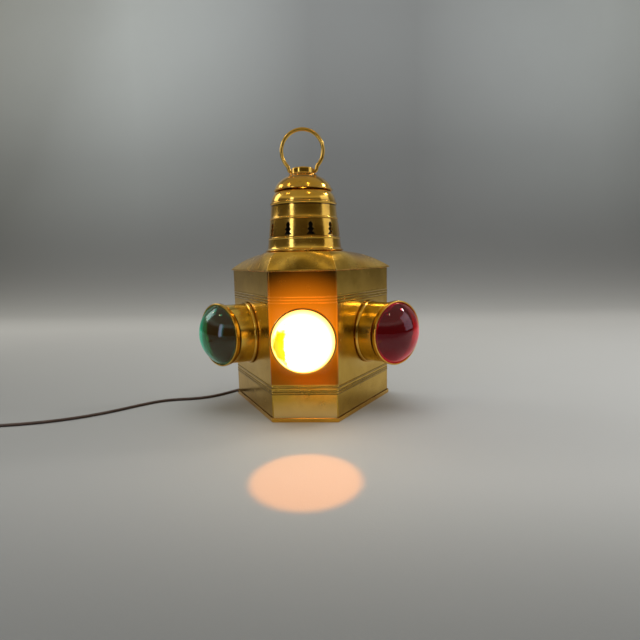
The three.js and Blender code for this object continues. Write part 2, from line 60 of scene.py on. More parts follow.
# ------------------------------------------------------------------ camera
cam_data = bpy.data.cameras.new("camera")
cam_data.sensor_width = 36.0
cam_data.lens = 25.3125
cam_data.clip_start, cam_data.clip_end = 0.01, 50.0
cam = bpy.data.objects.new("camera", cam_data)
scene.collection.objects.link(cam)
R = (0.99835968, 0.05299677, -0.02166296)
U = (0.01429438, 0.13565990, 0.99065234)
F = (-0.05544017, 0.98933702, -0.13467982)
cam.matrix_world = Matrix(
    (
        (R[0], U[0], -F[0], 0.04915584),
        (R[1], U[1], -F[1], -0.56915970),
        (R[2], U[2], -F[2], 0.19445520),
        (0, 0, 0, 1),
    )
)
scene.camera = cam
scene.view_settings.view_transform = "Standard"
scene.view_settings.look = "None"


# ------------------------------------------------------------------ node helpers
class Graph:
    def __init__(self, name, world=False):
        self.mat = bpy.data.worlds.new(name) if world else bpy.data.materials.new(name)
        self.mat.use_nodes = True
        self.t = self.mat.node_tree
        self.t.nodes.clear()

    def node(self, kind, inputs=None, **props):
        n = self.t.nodes.new(kind)
        for k, v in props.items():
            setattr(n, k, v)
        for k, v in (inputs or {}).items():
            self.put(n, k, v)
        return n

    def put(self, n, k, v):
        s = n.inputs[k]
        if isinstance(v, bpy.types.NodeSocket):
            self.t.links.new(v, s)
        else:
            s.default_value = v

    def coords(self, scale=(1, 1, 1), rot=(0, 0, 0), loc=(0, 0, 0)):
        c = self.node("ShaderNodeTexCoord").outputs["Object"]
        return self.node("ShaderNodeMapping", {"Vector": c, "Scale": scale, "Rotation": rot, "Location": loc}).outputs[0]

    def noise(self, scale, detail=3.0, rough=0.5, vec=None, dist=0.0, w=0.0):
        n = self.node("ShaderNodeTexNoise", noise_dimensions="4D")
        self.put(n, "Vector", vec if vec is not None else self.coords())
        self.put(n, "W", w)
        self.put(n, "Scale", scale)
        self.put(n, "Detail", detail)
        self.put(n, "Roughness", rough)
        self.put(n, "Distortion", dist)
        return n.outputs["Fac"]

    def ramp(self, fac, stops):
        n = self.node("ShaderNodeValToRGB", {"Fac": fac})
        e = n.color_ramp.elements
        while len(e) > 1:
            e.remove(e[-1])
        e[0].position, e[0].color = stops[0][0], (*stops[0][1], 1) if len(stops[0][1]) == 3 else stops[0][1]
        for p, c in stops[1:]:
            x = e.new(p)
            x.color = (*c, 1)
        return n.outputs["Color"]

    def span(self, v, a, b, c=0.0, d=1.0, kind="LINEAR"):
        n = self.node("ShaderNodeMapRange", {"Value": v, "From Min": a, "From Max": b, "To Min": c, "To Max": d}, interpolation_type=kind)
        n.clamp = True
        return n.outputs["Result"]

    def math(self, op, a, b=0.0):
        n = self.node("ShaderNodeMath", operation=op)
        for i, v in enumerate((a, b)):
            if isinstance(v, bpy.types.NodeSocket):
                self.t.links.new(v, n.inputs[i])
            else:
                n.inputs[i].default_value = v
        return n.outputs[0]

    def mix(self, fac, a, b, blend="MIX"):
        n = self.node("ShaderNodeMix", data_type="RGBA", blend_type=blend)
        for i, v in ((0, fac), (6, a), (7, b)):
            if isinstance(v, bpy.types.NodeSocket):
                self.t.links.new(v, n.inputs[i])
            elif i == 0:
                n.inputs[i].default_value = v
            else:
                n.inputs[i].default_value = (*v, 1) if len(v) == 3 else v
        return n.outputs[2]

    def xyz(self, vec=None):
        return self.node("ShaderNodeSeparateXYZ", {"Vector": vec if vec is not None else self.coords()}).outputs

    def bump(self, height, distance, strength=1.0, normal=None):
        n = self.node("ShaderNodeBump", {"Height": height, "Distance": distance, "Strength": strength})
        if normal is not None:
            self.put(n, "Normal", normal)
        return n.outputs[0]

    def done(self, **inputs):
        p = self.node("ShaderNodeBsdfPrincipled")
        for k, v in inputs.items():
            self.put(p, k.replace("_", " "), v)
        o = self.node("ShaderNodeOutputMaterial")
        self.t.links.new(p.outputs[0], o.inputs["Surface"])
        return self.mat


def brass(name, light=(0.94, 0.58, 0.10), deep=(0.74, 0.38, 0.03), rough=(0.10, 0.22), tarnish=0.5, wave=0.00010, wave_scale=28.0,
          grain=None, scratch=0.000004, seed=0.0, grime=0.5, painted_glow_and_shade=False, dirt=(0.26, 0.14, 0.035), spotted=1.4, bore=False, rim_shade_z=None, coat=0.0):
    g = Graph(name)
    c = g.coords()
    broad = g.noise(26, 3, 0.55, c, w=seed)
    col = g.ramp(broad, [(0.30, deep), (0.52, tuple((a + b) / 2 for a, b in zip(light, deep))), (0.70, light)])
    # tarnish in soft patches, and small reddish spots inside them
    patch = g.span(g.noise(48, 6, 0.68, c, dist=0.4, w=seed + 3), 0.52, 0.74)
    patch = g.math("MULTIPLY", patch, tarnish)
    col = g.mix(patch, col, dirt)
    spots = g.span(g.noise(420, 3, 0.6, c, w=seed + 7), 0.66, 0.73)
    spots = g.math("MULTIPLY", spots, g.span(g.noise(30, 2, 0.5, c, w=seed + 11), 0.46, 0.66))
    spots = g.math("MULTIPLY", spots, min(1.0, tarnish * spotted))
    col = g.mix(spots, col, (0.33, 0.10, 0.03))
    if painted_glow_and_shade:
        # painted glow: the front plate is coloured orange round the lit lens, brightest next to it and dark brown
        # towards its edges
        x, y, z = g.xyz()[:3]
        dz = g.math("SUBTRACT", z, 0.0992)
        rr = g.math("SQRT", g.math("ADD", g.math("MULTIPLY", x, x), g.math("MULTIPLY", dz, dz)))
        on = g.math("MULTIPLY", g.span(y, -0.0475, -0.0495), g.span(z, 0.0455, 0.0470))
        painted_glow_col = g.ramp(g.span(rr, 0.037, 0.085), [(0.0, (1.0, 0.24, 0.0)), (0.16, (0.66, 0.14, 0.004)), (0.45, (0.40, 0.11, 0.006)), (1.0, (0.26, 0.10, 0.01))])
        col = g.mix(g.math("MULTIPLY", on, 0.92), col, painted_glow_col)
    if painted_glow_and_shade:
        # painted shade: a dark line along the lower side of each pressed bead, and one just above the tray's rim
        bead_shade = None
        for zb in (0.0071, 0.0354, 0.0385, 0.0434, 0.1442, 0.1477, 0.1511):
            k = g.span(g.math("ABSOLUTE", g.math("SUBTRACT", z, zb - 0.0011)), 0.00085, 0.00030)
            bead_shade = k if bead_shade is None else g.math("MAXIMUM", bead_shade, k)
        bead_shade = g.math("MULTIPLY", bead_shade, g.span(g.noise(70, 3, 0.6, c, w=seed + 9), 0.25, 0.6, 0.45, 0.85))
        col = g.mix(bead_shade, col, (0.10, 0.045, 0.008))
    if rim_shade_z:
        # painted shade: a dark line at this height, under the bead above it
        z = g.xyz()[2]
        k = g.span(g.math("ABSOLUTE", g.math("SUBTRACT", z, rim_shade_z)), 0.0010, 0.0005)
        k = g.math("MULTIPLY", k, g.span(g.noise(60, 3, 0.6, c, w=seed + 9), 0.25, 0.6, 0.5, 0.9))
        col = g.mix(k, col, (0.09, 0.04, 0.008))
    # grime in the hollows and a brighter metal along the edges
    point = g.node("ShaderNodeNewGeometry").outputs["Pointiness"]
    hollow = g.math("MULTIPLY", g.span(point, 0.495, 0.44), grime)
    col = g.mix(hollow, col, (0.16, 0.085, 0.03))
    edge = g.math("MULTIPLY", g.span(point, 0.52, 0.60), 0.7)
    col = g.mix(edge, col, (0.95, 0.74, 0.36))
    r = g.span(g.noise(75, 5, 0.62, c, w=seed + 5), 0.3, 0.7, rough[0], rough[1])
    r = g.math("ADD", r, g.math("MULTIPLY", patch, 0.22))
    r = g.math("ADD", r, g.math("MULTIPLY", spots, 0.25))
    r = g.math("ADD", r, g.math("MULTIPLY", hollow, 0.25))
    if bore:
        # darker and rougher inside the tubes
        x, y, z = g.xyz()[:3]
        u = g.math("ADD", g.math("MULTIPLY", g.math("SUBTRACT", g.math("ABSOLUTE", x), 0.08205), 0.5), g.math("MULTIPLY", g.math("SUBTRACT", y, 0.0206), 0.866))
        v = g.math("SUBTRACT", z, 0.0988)
        inner = g.span(g.math("SQRT", g.math("ADD", g.math("MULTIPLY", u, u), g.math("MULTIPLY", v, v))), 0.0384, 0.0380)
        col = g.mix(inner, col, (0.10, 0.045, 0.018))
        r = g.math("MAXIMUM", r, g.math("MULTIPLY", inner, 0.6))
    # hand-worked sheet is never quite flat; fine scratches run over it
    h = g.bump(g.noise(wave_scale, 2, 0.5, c, w=seed + 1), wave)
    s1 = g.noise(1.0, 2, 0.6, g.coords((40, 40, 2600) if grain is None else grain), w=seed)
    s2 = g.noise(1.0, 2, 0.5, g.coords((900, 60, 260), (0.3, 0.9, 0.6)), w=seed + 2)
    s3 = g.noise(1.0, 2, 0.5, g.coords((70, 1100, 180), (0.8, 0.2, 1.1)), w=seed + 4)
    sc = g.math("ADD", g.span(s1, 0.25, 0.75), g.math("ADD", g.span(s2, 0.60, 0.72), g.span(s3, 0.62, 0.74)))
    h = g.bump(sc, scratch, normal=h)
    h = g.bump(spots, 0.00004, normal=h)
    if painted_glow_and_shade:
        # painted glow: the front plate emits orange light of its own round the lens, weaker low on the plate
        glow = g.math("MULTIPLY", on, g.span(rr, 0.090, 0.036, 0.0, 0.72, "SMOOTHSTEP"))
        glow = g.math("MULTIPLY", glow, g.span(z, 0.062, 0.115, 0.10, 1.0))
        return g.done(Base_Color=col, Metallic=1.0, Roughness=r, Normal=h, Emission_Color=(1.0, 0.24, 0.005, 1), Emission_Strength=glow)
    return g.done(Base_Color=col, Metallic=1.0, Roughness=r, Normal=h, Coat_Weight=coat, Coat_Roughness=0.12)


def glass(name, tint, rough=0.015, seed=0.0, glow=None):
    g = Graph(name)
    c = g.coords()
    col = g.mix(g.span(g.noise(40, 3, 0.5, c, w=seed), 0.35, 0.7), tint, tuple(min(1.0, x * 1.18) for x in tint))
    smear = g.span(g.noise(55, 5, 0.7, c, dist=0.6, w=seed + 2), 0.5, 0.75)
    r = g.math("ADD", g.math("MULTIPLY", smear, 0.05), rough)
    h = g.bump(g.noise(60, 2, 0.5, c, w=seed + 1), 0.00006)
    # painted glow: emission colour and strength come from each lens's glow function
    inner, strength = glow(g)
    return g.done(Base_Color=col, Metallic=0.0, Roughness=r, Transmission_Weight=1.0, IOR=1.5, Specular_IOR_Level=0.2, Normal=h,
                  Emission_Color=inner, Emission_Strength=strength)


def red_glow(g):
    # painted glow and reflection: the glass emits red light, dim above and fuller below, with a painted reflection
    # brightest along the outer rim
    x, y, z = g.xyz()[:3]
    low = g.span(z, 0.088, 0.060, kind="SMOOTHSTEP")
    rim = g.span(x, 0.1375, 0.1445, kind="SMOOTHSTEP")
    st = g.math("ADD", g.math("MULTIPLY", low, 0.045), g.math("ADD", g.math("MULTIPLY", rim, 0.16), 0.022))
    return (1.0, 0.025, 0.06, 1), st


def green_glow(g):
    # painted glow: green light only in the outer crescent, standing in for backdrop light through the edge of the
    # glass; the rest of the glass glows a dim orange-brown in place of the inside of the tube
    x, y, z = g.xyz()[:3]
    rim = g.span(x, -0.1315, -0.1340)
    return g.mix(rim, (1.0, 0.30, 0.06), (0.02, 1.0, 0.52)), g.span(rim, 0.0, 1.0, 0.016, 0.060)


def plastic(name, a, b, rough=(0.35, 0.55), bump=0.00003, scale=900, seed=0.0, wear=(0.2, 0.16, 0.13)):
    g = Graph(name)
    c = g.coords()
    col = g.mix(g.span(g.noise(60, 4, 0.6, c, w=seed), 0.35, 0.65), a, b)
    dust = g.span(g.noise(130, 6, 0.7, c, w=seed + 2), 0.56, 0.74)
    col = g.mix(g.math("MULTIPLY", dust, 0.4), col, wear)
    r = g.span(g.noise(200, 4, 0.6, c, w=seed + 3), 0.3, 0.7, rough[0], rough[1])
    h = g.bump(g.noise(scale, 3, 0.6, c, w=seed + 1), bump)
    return g.done(Base_Color=col, Metallic=0.0, Roughness=r, Normal=h)


def metal(name, a, b, rough=(0.28, 0.5), seed=0.0):
    g = Graph(name)
    c = g.coords()
    col = g.mix(g.span(g.noise(120, 5, 0.6, c, w=seed), 0.35, 0.65), a, b)
    rust = g.span(g.noise(240, 5, 0.7, c, w=seed + 2), 0.62, 0.74)
    col = g.mix(g.math("MULTIPLY", rust, 0.5), col, (0.22, 0.12, 0.07))
    r = g.span(g.noise(160, 5, 0.6, c, w=seed + 3), 0.3, 0.7, rough[0], rough[1])
    h = g.bump(g.noise(1400, 3, 0.6, c, w=seed + 1), 0.00001)
    return g.done(Base_Color=col, Metallic=1.0, Roughness=r, Normal=h)


# painted shade: a dark line on the chimney's upper tier, just under its bead
M_BRASS = brass("polished_brass", rough=(0.11, 0.20), rim_shade_z=0.2587, coat=0.25)
M_TUBE = brass("tube_brass", light=(1.0, 0.70, 0.07), deep=(0.94, 0.58, 0.03), bore=True, wave=0.00014, wave_scale=34, grain=(1200, 1200, 60), seed=2.0, rough=(0.14, 0.26), tarnish=0.1)
M_ROOF = brass("roof_brass", wave=0.00016, wave_scale=24, seed=4.0, rough=(0.15, 0.28), tarnish=0.8)
# the housing brass carries painted glow round the front lens and painted shade under the beads
M_BODY = brass("housing_brass", light=(0.76, 0.475, 0.085), deep=(0.57, 0.34, 0.04), wave=0.00022, wave_scale=15, seed=6.0, rough=(0.15, 0.27), tarnish=0.35, painted_glow_and_shade=True, spotted=0.0, scratch=0.0000015)
# near-black finish, used on the flue liner behind the vent slots
M_INNER = plastic("near_black", (0.010, 0.008, 0.006), (0.018, 0.013, 0.009), (0.7, 0.9), seed=8.0, wear=(0.03, 0.02, 0.012))
M_STEEL = metal("zinc_steel", (0.52, 0.52, 0.50), (0.38, 0.38, 0.37))
M_RED = glass("red_glass", (0.55, 0.014, 0.04), glow=red_glow)
M_GREEN = glass("green_glass", (0.02, 0.42, 0.30), seed=3.0, glow=green_glow)
M_RUBBER = plastic("black_rubber", (0.018, 0.016, 0.015), (0.035, 0.031, 0.028), (0.5, 0.7))
M_BAKE = plastic("brown_bakelite", (0.035, 0.016, 0.010), (0.06, 0.028, 0.016), (0.25, 0.4), seed=5.0)
M_CORD = plastic("cord_brown", (0.040, 0.020, 0.012), (0.065, 0.034, 0.021), (0.38, 0.52), scale=500, seed=7.0)


def painted_glow_lens():
    """Clear lens with painted glow: its emission stands in for the bulb's light, white-hot in the middle, amber towards
    the rim.
    """
    g = Graph("clear_glass_painted_glow")
    x, y, z = g.xyz()[:3]
    dx = g.math("SUBTRACT", x, 0.0)
    dz = g.math("SUBTRACT", z, 0.0992)
    rr = g.math("SQRT", g.math("ADD", g.math("MULTIPLY", dx, dx), g.math("MULTIPLY", dz, dz)))
    col = g.ramp(g.span(rr, 0.0, 0.0385), [(0.0, (1.0, 0.86, 0.62)), (0.62, (1.0, 0.80, 0.50)), (0.86, (1.0, 0.62, 0.24)), (1.0, (1.0, 0.36, 0.04))])
    # painted glow: a yellower, dimmer patch low on the starboard side of the lens
    pz = g.math("SUBTRACT", z, 0.0965)
    bow = g.math("MULTIPLY", g.math("MULTIPLY", pz, pz), 14.5)
    px = g.math("DIVIDE", g.math("SUBTRACT", g.math("ADD", x, 0.0262), bow), 0.0085)
    pz = g.math("DIVIDE", pz, 0.0235)
    pr = g.math("SQRT", g.math("ADD", g.math("MULTIPLY", px, px), g.math("MULTIPLY", pz, pz)))
    patch = g.span(g.math("ADD", pr, g.math("MULTIPLY", g.math("SUBTRACT", g.noise(140, 4, 0.6), 0.5), 1.1)), 1.10, 0.70)
    col = g.mix(patch, col, (1.0, 0.82, 0.0))
    st = g.span(rr, 0.020, 0.0385, 9.0, 2.2)
    st = g.math("MULTIPLY", st, g.span(patch, 0.0, 1.0, 1.0, 0.16))
    st = g.math("MULTIPLY", st, g.span(y, -0.0524, -0.0536))
    return g.done(Base_Color=(0.30, 0.16, 0.02, 1), Roughness=0.05, IOR=1.5, Emission_Color=col, Emission_Strength=st,
                  Normal=g.bump(g.noise(60, 2, 0.5), 0.00005))


def lit_bulb():
    g = Graph("bulb_glass")
    z = g.xyz()[2]
    col = g.mix(g.span(g.noise(80, 2, 0.5), 0.3, 0.7), (1.0, 0.78, 0.48), (1.0, 0.72, 0.40))
    return g.done(Base_Color=(0.9, 0.88, 0.8, 1), Roughness=0.35, Emission_Color=col, Emission_Strength=g.span(z, 0.066, 0.1, 0.04, 0.16))


M_CLEAR = painted_glow_lens()
M_BULB = lit_bulb()


# ------------------------------------------------------------------ mesh helpers
def piece(name, verts, faces, mat, body, slot, replaces=(), M=None, smooth=True):
    me = bpy.data.meshes.new(name)
    v = np.array(verts, float).reshape(-1, 3) * MM
    if M is not None:
        m = np.array(M, float)
        t = m[:3, 3] * MM
        v = v @ m[:3, :3].T + t
    me.from_pydata(v.tolist(), [], [list(map(int, f)) for f in faces])
    me.update()
    bm = bmesh.new()
    bm.from_mesh(me)
    bmesh.ops.remove_doubles(bm, verts=bm.verts, dist=1e-7)
    bmesh.ops.recalc_face_normals(bm, faces=bm.faces)
    bm.to_mesh(me)
    bm.free()
    me.polygons.foreach_set("use_smooth", [smooth] * len(me.polygons))
    me.materials.append(mat)
    o = bpy.data.objects.new(name, me)
    scene.collection.objects.link(o)
    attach(o, body)
    if replaces:
        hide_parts(*replaces)
    return o


def fillet(P, fr=0.3, k=3, closed=True):
    """The profile with its corners rounded, and a line of points beside each corner so that flats stay flat when smoothed."""
    n, out = len(P), []
    for i in range(n):
        p = np.array(P[i][:2], float)
        f = P[i][2] if len(P[i]) > 2 else fr
        if not closed and i in (0, n - 1):
            out.append(p)
            continue
        a, b = np.array(P[(i - 1) % n][:2], float), np.array(P[(i + 1) % n][:2], float)
        la, lb = np.linalg.norm(a - p), np.linalg.norm(b - p)
        ua, ub = (a - p) / la, (b - p) / lb
        if f <= 0 or ua @ ub < -0.975:
            out.append(p)
            continue
        d = min(f, 0.42 * la, 0.42 * lb)
        if la > 4 * d:
            out.append(p + ua * d * 1.8)
        for t in np.linspace(0, 1, k + 2):
            out.append((1 - t) ** 2 * (p + ua * d) + 2 * t * (1 - t) * p + t * t * (p + ub * d))
        if lb > 4 * d:
            out.append(p + ub * d * 1.8)
    return out


def curve(points, step):
    """Centripetal Catmull-Rom through the points, sampled evenly."""
    P = np.array(points, float)
    P = np.vstack([2 * P[0] - P[1], P, 2 * P[-1] - P[-2]])
    out = []
    for i in range(1, len(P) - 2):
        p0, p1, p2, p3 = P[i - 1 : i + 3]
        d0, d1, d2 = (max(1e-6, np.linalg.norm(b - a) ** 0.5) for a, b in ((p0, p1), (p1, p2), (p2, p3)))
        m1 = ((p1 - p0) / d0 - (p2 - p0) / (d0 + d1) + (p2 - p1) / d1) * d1
        m2 = ((p2 - p1) / d1 - (p3 - p1) / (d1 + d2) + (p3 - p2) / d2) * d1
        t = np.linspace(0, 1, 24, endpoint=False)[:, None]
        out.append((2 * t**3 - 3 * t**2 + 1) * p1 + (t**3 - 2 * t**2 + t) * m1 + (-2 * t**3 + 3 * t**2) * p2 + (t**3 - t**2) * m2)
    out = np.vstack([*out, P[-2][None]])
    along = np.concatenate([[0], np.cumsum(np.linalg.norm(np.diff(out, axis=0), axis=1))])
    at = np.linspace(0, along[-1], max(2, int(round(along[-1] / step)) + 1))
    return np.stack([np.interp(at, along, out[:, k]) for k in range(out.shape[1])], axis=1)


def turned_mesh(prof, n=144, closed=True):
    """Vertices and faces of a profile of (radius, height) turned about Z."""
    v, rows, f = [], [], []
    for r, z in prof:
        if r < 1e-6:
            rows.append([len(v)] * n)
            v.append((0, 0, z))
        else:
            rows.append(list(range(len(v), len(v) + n)))
            v += [(r * math.cos(a), r * math.sin(a), z) for a in np.linspace(0, 2 * math.pi, n, endpoint=False)]
    m = len(rows)
    for i in range(m if closed else m - 1):
        A, B = rows[i], rows[(i + 1) % m]
        for j in range(n):
            q = [A[j], A[(j + 1) % n], B[(j + 1) % n], B[j]]
            q = [x for k, x in enumerate(q) if x not in q[:k]]
            if len(q) > 2:
                f.append(q)
    return v, f


def turned(name, P, mat, slot, body="housing", replaces=(), n=144, fr=0.3, closed=None, M=None, k=3, raw=False):
    closed = P[0][0] > 1e-6 if closed is None else closed
    prof = [np.array(p[:2], float) for p in P] if raw else fillet(P, fr, k, closed)
    v, f = turned_mesh(prof, n, closed)
    return piece(name, v, f, mat, body, slot, replaces, M)


def loft(name, rings, mat, body, slot, replaces=(), loop=False, caps=True, M=None, smooth=True):
    """Skin over rings of equally many points; loop joins the last ring to the first."""
    n, m = len(rings[0]), len(rings)
    v = [tuple(p) for r in rings for p in r]
    f = [[i * n + j, i * n + (j + 1) % n, ((i + 1) % m) * n + (j + 1) % n, ((i + 1) % m) * n + j] for i in range(m if loop else m - 1) for j in range(n)]
    if caps and not loop:
        f += [list(range(n))[::-1], [(m - 1) * n + j for j in range(n)]]
    return piece(name, v, f, mat, body, slot, replaces, M, smooth)


def cut_by(o, *tools):
    """o less each tool (vertices, faces, in millimetres)."""
    for i, (v, f) in enumerate(tools):
        me = bpy.data.meshes.new("cutter")
        me.from_pydata((np.array(v, float) * MM).tolist(), [], [list(map(int, x)) for x in f])
        bm = bmesh.new()
        bm.from_mesh(me)
        bmesh.ops.recalc_face_normals(bm, faces=bm.faces)
        bm.to_mesh(me)
        bm.free()
        c = bpy.data.objects.new("cutter", me)
        scene.collection.objects.link(c)
        m = o.modifiers.new("cut", "BOOLEAN")
        m.operation, m.object, m.solver = "DIFFERENCE", c, "EXACT"
        bpy.context.view_layer.update()
        new = bpy.data.meshes.new_from_object(o.evaluated_get(bpy.context.evaluated_depsgraph_get()))
        o.modifiers.remove(m)
        old = o.data
        o.data = new
        bpy.data.meshes.remove(old)
        bpy.data.objects.remove(c)
        bpy.data.meshes.remove(me)
    return o


def normals(o, rule):
    """Sets each corner's shading normal from rule(face normal, corner position), both arrays, in metres."""
    me = o.data
    n = len(me.loops)
    vi = np.zeros(n, np.int32)
    me.loops.foreach_get("vertex_index", vi)
    co = np.zeros(len(me.vertices) * 3)
    me.vertices.foreach_get("co", co)
    co = co.reshape(-1, 3)[vi]
    fn = np.zeros((n, 3))
    for p in me.polygons:
        fn[p.loop_start : p.loop_start + p.loop_total] = p.normal
    me.polygons.foreach_set("use_smooth", [True] * len(me.polygons))
    me.normals_split_custom_set(rule(fn, co).tolist())


def weigh(o, angle=32):
    """Hard corners stay hard, and large faces keep their own normal."""
    me = o.data
    bm = bmesh.new()
    bm.from_mesh(me)
    lim = math.radians(angle)
    for e in bm.edges:
        e.smooth = not (len(e.link_faces) != 2 or e.calc_face_angle(0) > lim)
    bm.to_mesh(me)
    bm.free()
    m = o.modifiers.new("weigh", "WEIGHTED_NORMAL")
    m.keep_sharp, m.weight, m.mode = True, 100, "FACE_AREA"
    return o


def box_mesh(x0, y0, z0, x1, y1, z1):
    v = [(x, y, z) for z in (z0, z1) for y in (y0, y1) for x in (x0, x1)]
    return v, [(0, 1, 3, 2), (4, 5, 7, 6), (0, 1, 5, 4), (2, 3, 7, 6), (0, 2, 6, 4), (1, 3, 7, 5)]


def moved(mesh, M):
    m = np.array(M, float)
    return (np.array(mesh[0], float) @ m[:3, :3].T + m[:3, 3]), mesh[1]


def both(*meshes):
    v, f, at = [], [], 0
    for a, b in meshes:
        a = [tuple(p) for p in np.array(a, float)]
        v += a
        f += [[i + at for i in q] for q in b]
        at += len(a)
    return v, f


def bevelled(o, width, segments=3, angle=30):
    """Rounds the hard edges of a piece in its own mesh."""
    bm = bmesh.new()
    bm.from_mesh(o.data)
    bmesh.ops.remove_doubles(bm, verts=bm.verts, dist=1e-6)
    bmesh.ops.dissolve_limit(bm, angle_limit=math.radians(1), verts=bm.verts, edges=bm.edges)
    e = [x for x in bm.edges if len(x.link_faces) == 2 and x.calc_face_angle(0) > math.radians(angle)]
    bmesh.ops.bevel(bm, geom=e, offset=width * MM, segments=segments, profile=0.5, affect="EDGES", clamp_overlap=True)
    bm.to_mesh(o.data)
    bm.free()
    o.data.polygons.foreach_set("use_smooth", [True] * len(o.data.polygons))
    return weigh(o, 40)


def from_cad(node, mat, body="housing", bevel=0.25, segments=2):
    """A finer copy of a CAD part: the same faces, with rounded edges."""
    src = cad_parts[node]
    me = src.data.copy()
    me.name = node + "_fine"
    me.materials.clear()
    me.materials.append(mat)
    for p in me.polygons:
        p.material_index = 0
    o = bpy.data.objects.new(node + "_fine", me)
    scene.collection.objects.link(o)
    bm = bmesh.new()
    bm.from_mesh(me)
    for layer in list(bm.loops.layers.uv):
        bm.loops.layers.uv.remove(layer)
    bm.to_mesh(me)
    bm.free()
    if me.has_custom_normals:
        me.normals_split_custom_set([(0, 0, 0)] * len(me.loops))
    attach(o, body)
    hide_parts(node)
    return bevelled(o, bevel, segments)


def tube_mesh(path, section, closed=False, level=False):
    """Section (pairs across, up) swept along the path; level keeps its width horizontal."""
    P = np.array(path, float)
    n, k = len(P), len(section)
    if closed:
        T = np.roll(P, -1, 0) - np.roll(P, 1, 0)
    else:
        T = np.gradient(P, axis=0)
    T /= np.linalg.norm(T, axis=1)[:, None]
    v = []
    for p, t in zip(P, T):
        if level:
            w = np.array([-t[1], t[0], 0.0])
        else:
            w = np.cross((0.0, 1.0, 0.0), t)
        w /= np.linalg.norm(w)
        u = np.cross(t, w)
        v += [tuple(p + w * a + u * b) for a, b in section]
    f = [[i * k + j, i * k + (j + 1) % k, ((i + 1) % n) * k + (j + 1) % k, ((i + 1) % n) * k + j] for i in range(n if closed else n - 1) for j in range(k)]
    if not closed:
        f += [list(range(k))[::-1], [(n - 1) * k + j for j in range(k)]]
    return v, f


# ------------------------------------------------------------------ cord
BACK_Y = 74.26650385
EXIT = (-38.0, BACK_Y + 19.9, 12.0)
LEAD = [
    EXIT, (-38, 98, 12), (-38.4, 104, 11.6), (-40.6, 111, 10.2), (-45.2, 117.6, 8.0), (-52, 122.6, 5.4), (-60, 125, 3.2), (-68.5, 124.4, 2.0), (-76.2, 120.4, 1.7),
    (-82.5, 114.4, 1.6), (-98, 97.4, 1.6), (-114.4, 79.2, 1.6), (-126, 65.9, 1.6), (-138.5, 53.6, 1.6), (-152, 44.6, 1.6), (-168, 39.2, 1.6), (-186, 36.0, 1.6), (-200, 32.6, 1.6), (-213, 26.4, 1.6),
    (-232.3, 10.9, 1.6), (-251, -7.2, 1.6), (-268, -21.6, 1.6), (-286, -34.2, 1.6), (-306, -44.8, 1.6), (-330, -54.2, 1.6), (-354, -60.6, 1.6), (-378, -65.0, 1.6), (-400, -67.6, 1.6),
]
COIL_X, COIL_Y, COIL_OUT, COIL_IN = -414.5, -113.6, 41.0, 24.0


def coil_points():
    """In from the outer turn on the lower layer, then out again over it."""
    out = []
    start, end = 96.0, 2340.0
    turn = (end - start) / 2
    for a in np.arange(start, end + 1e-6, 4.5):
        s = (a - start) / turn
        inward = s if s < 1 else 2 - s
        r = COIL_OUT - (COIL_OUT - COIL_IN) * inward
        lift = min(1.0, max(0.0, (a - start - turn + 60) / 120))
        lift = lift * lift * (3 - 2 * lift)
        z = 2.45 + 3.05 * lift
        out.append((COIL_X + r * math.cos(math.radians(a)), COIL_Y + r * math.sin(math.radians(a)), z))
    return out


CP = coil_points()
enter = curve([*LEAD, (-408.4, -69.8, 1.9), CP[1], CP[3], CP[5]], 2.4)
# the tail runs straight off the top layer into the plug
tail = curve([CP[-5], CP[-3], CP[-1], (-455.6, -121.0, 5.5), (-455.7, -129.5, 5.5), (-455.7, -137.8, 5.6), (-456.0, -141.6, 5.75), (-456.3, -145.2, 5.95), (-456.65, -149.4, 6.1)], 2.4)
route = np.vstack([enter, np.array(CP[6:-6]), tail])
W, H = 2.7, 1.4
lobe = [(1.3 + H * math.cos(math.radians(a)), H * math.sin(math.radians(a))) for a in range(-120, 121, 24)]
section = [*lobe, *[(-x, -y) for x, y in lobe]]
cv, cf = tube_mesh(route, section, level=True)
cord = piece("flex_cord", cv, cf, M_CORD, "housing", "cord_brown", ("cord_lead", "cord_coil", "cord_tail"))

# moulded sleeve at the housing
ribs = [[0, -4.6], [5.6, -4.6, 0.5], [5.6, -2.7, 0.4], [4.2, -2.7, 0.3], [4.2, -0.9, 0.3], [6.0, -0.9, 0.4], [6.0, 0.6, 0.6]]
for i in range(6):
    z = 1.6 + i * 2.9
    r = 4.62 - 0.19 * i
    ribs += [[r - 0.75, z, 0.3], [r - 0.75, z + 0.7, 0.3], [r, z + 1.0, 0.3], [r - 0.12, z + 2.5, 0.3]]
ribs += [[3.25, 19.3, 0.5], [0, 19.5]]
relief = turned("cord_sleeve", ribs, M_RUBBER, "black_rubber", replaces=("cord_strain_relief",), n=48,
                M=Matrix.Translation((EXIT[0], BACK_Y, EXIT[2])) @ Matrix.Rotation(math.radians(-90), 4, "X"))

# strap round the coil
mid = -(COIL_OUT + COIL_IN) / 2
strap = []
for s, c in ((0, 0.0), (1, 1.0)):
    for x in ((-2.45, 2.45) if s == 0 else (2.45, -2.45)):
        hw, z0, z1, rr = (12.75, 0.1, 7.95, 2.4) if s == 0 else (12.25, 0.5, 7.5, 2.0)
        ring = []
        for cx, cz, a0 in ((hw - rr, z0 + rr, -90), (hw - rr, z1 - rr, 0), (-hw + rr, z1 - rr, 90), (-hw + rr, z0 + rr, 180)):
            for a in np.linspace(a0, a0 + 90, 7):
                ring.append((COIL_X + x, COIL_Y + mid + cx + rr * math.cos(math.radians(a)), cz + rr * math.sin(math.radians(a))))
        strap.append(ring)
tie = loft("coil_tie", strap, M_RUBBER, "housing", "black_rubber", ("cord_tie",), loop=True)
weigh(tie)

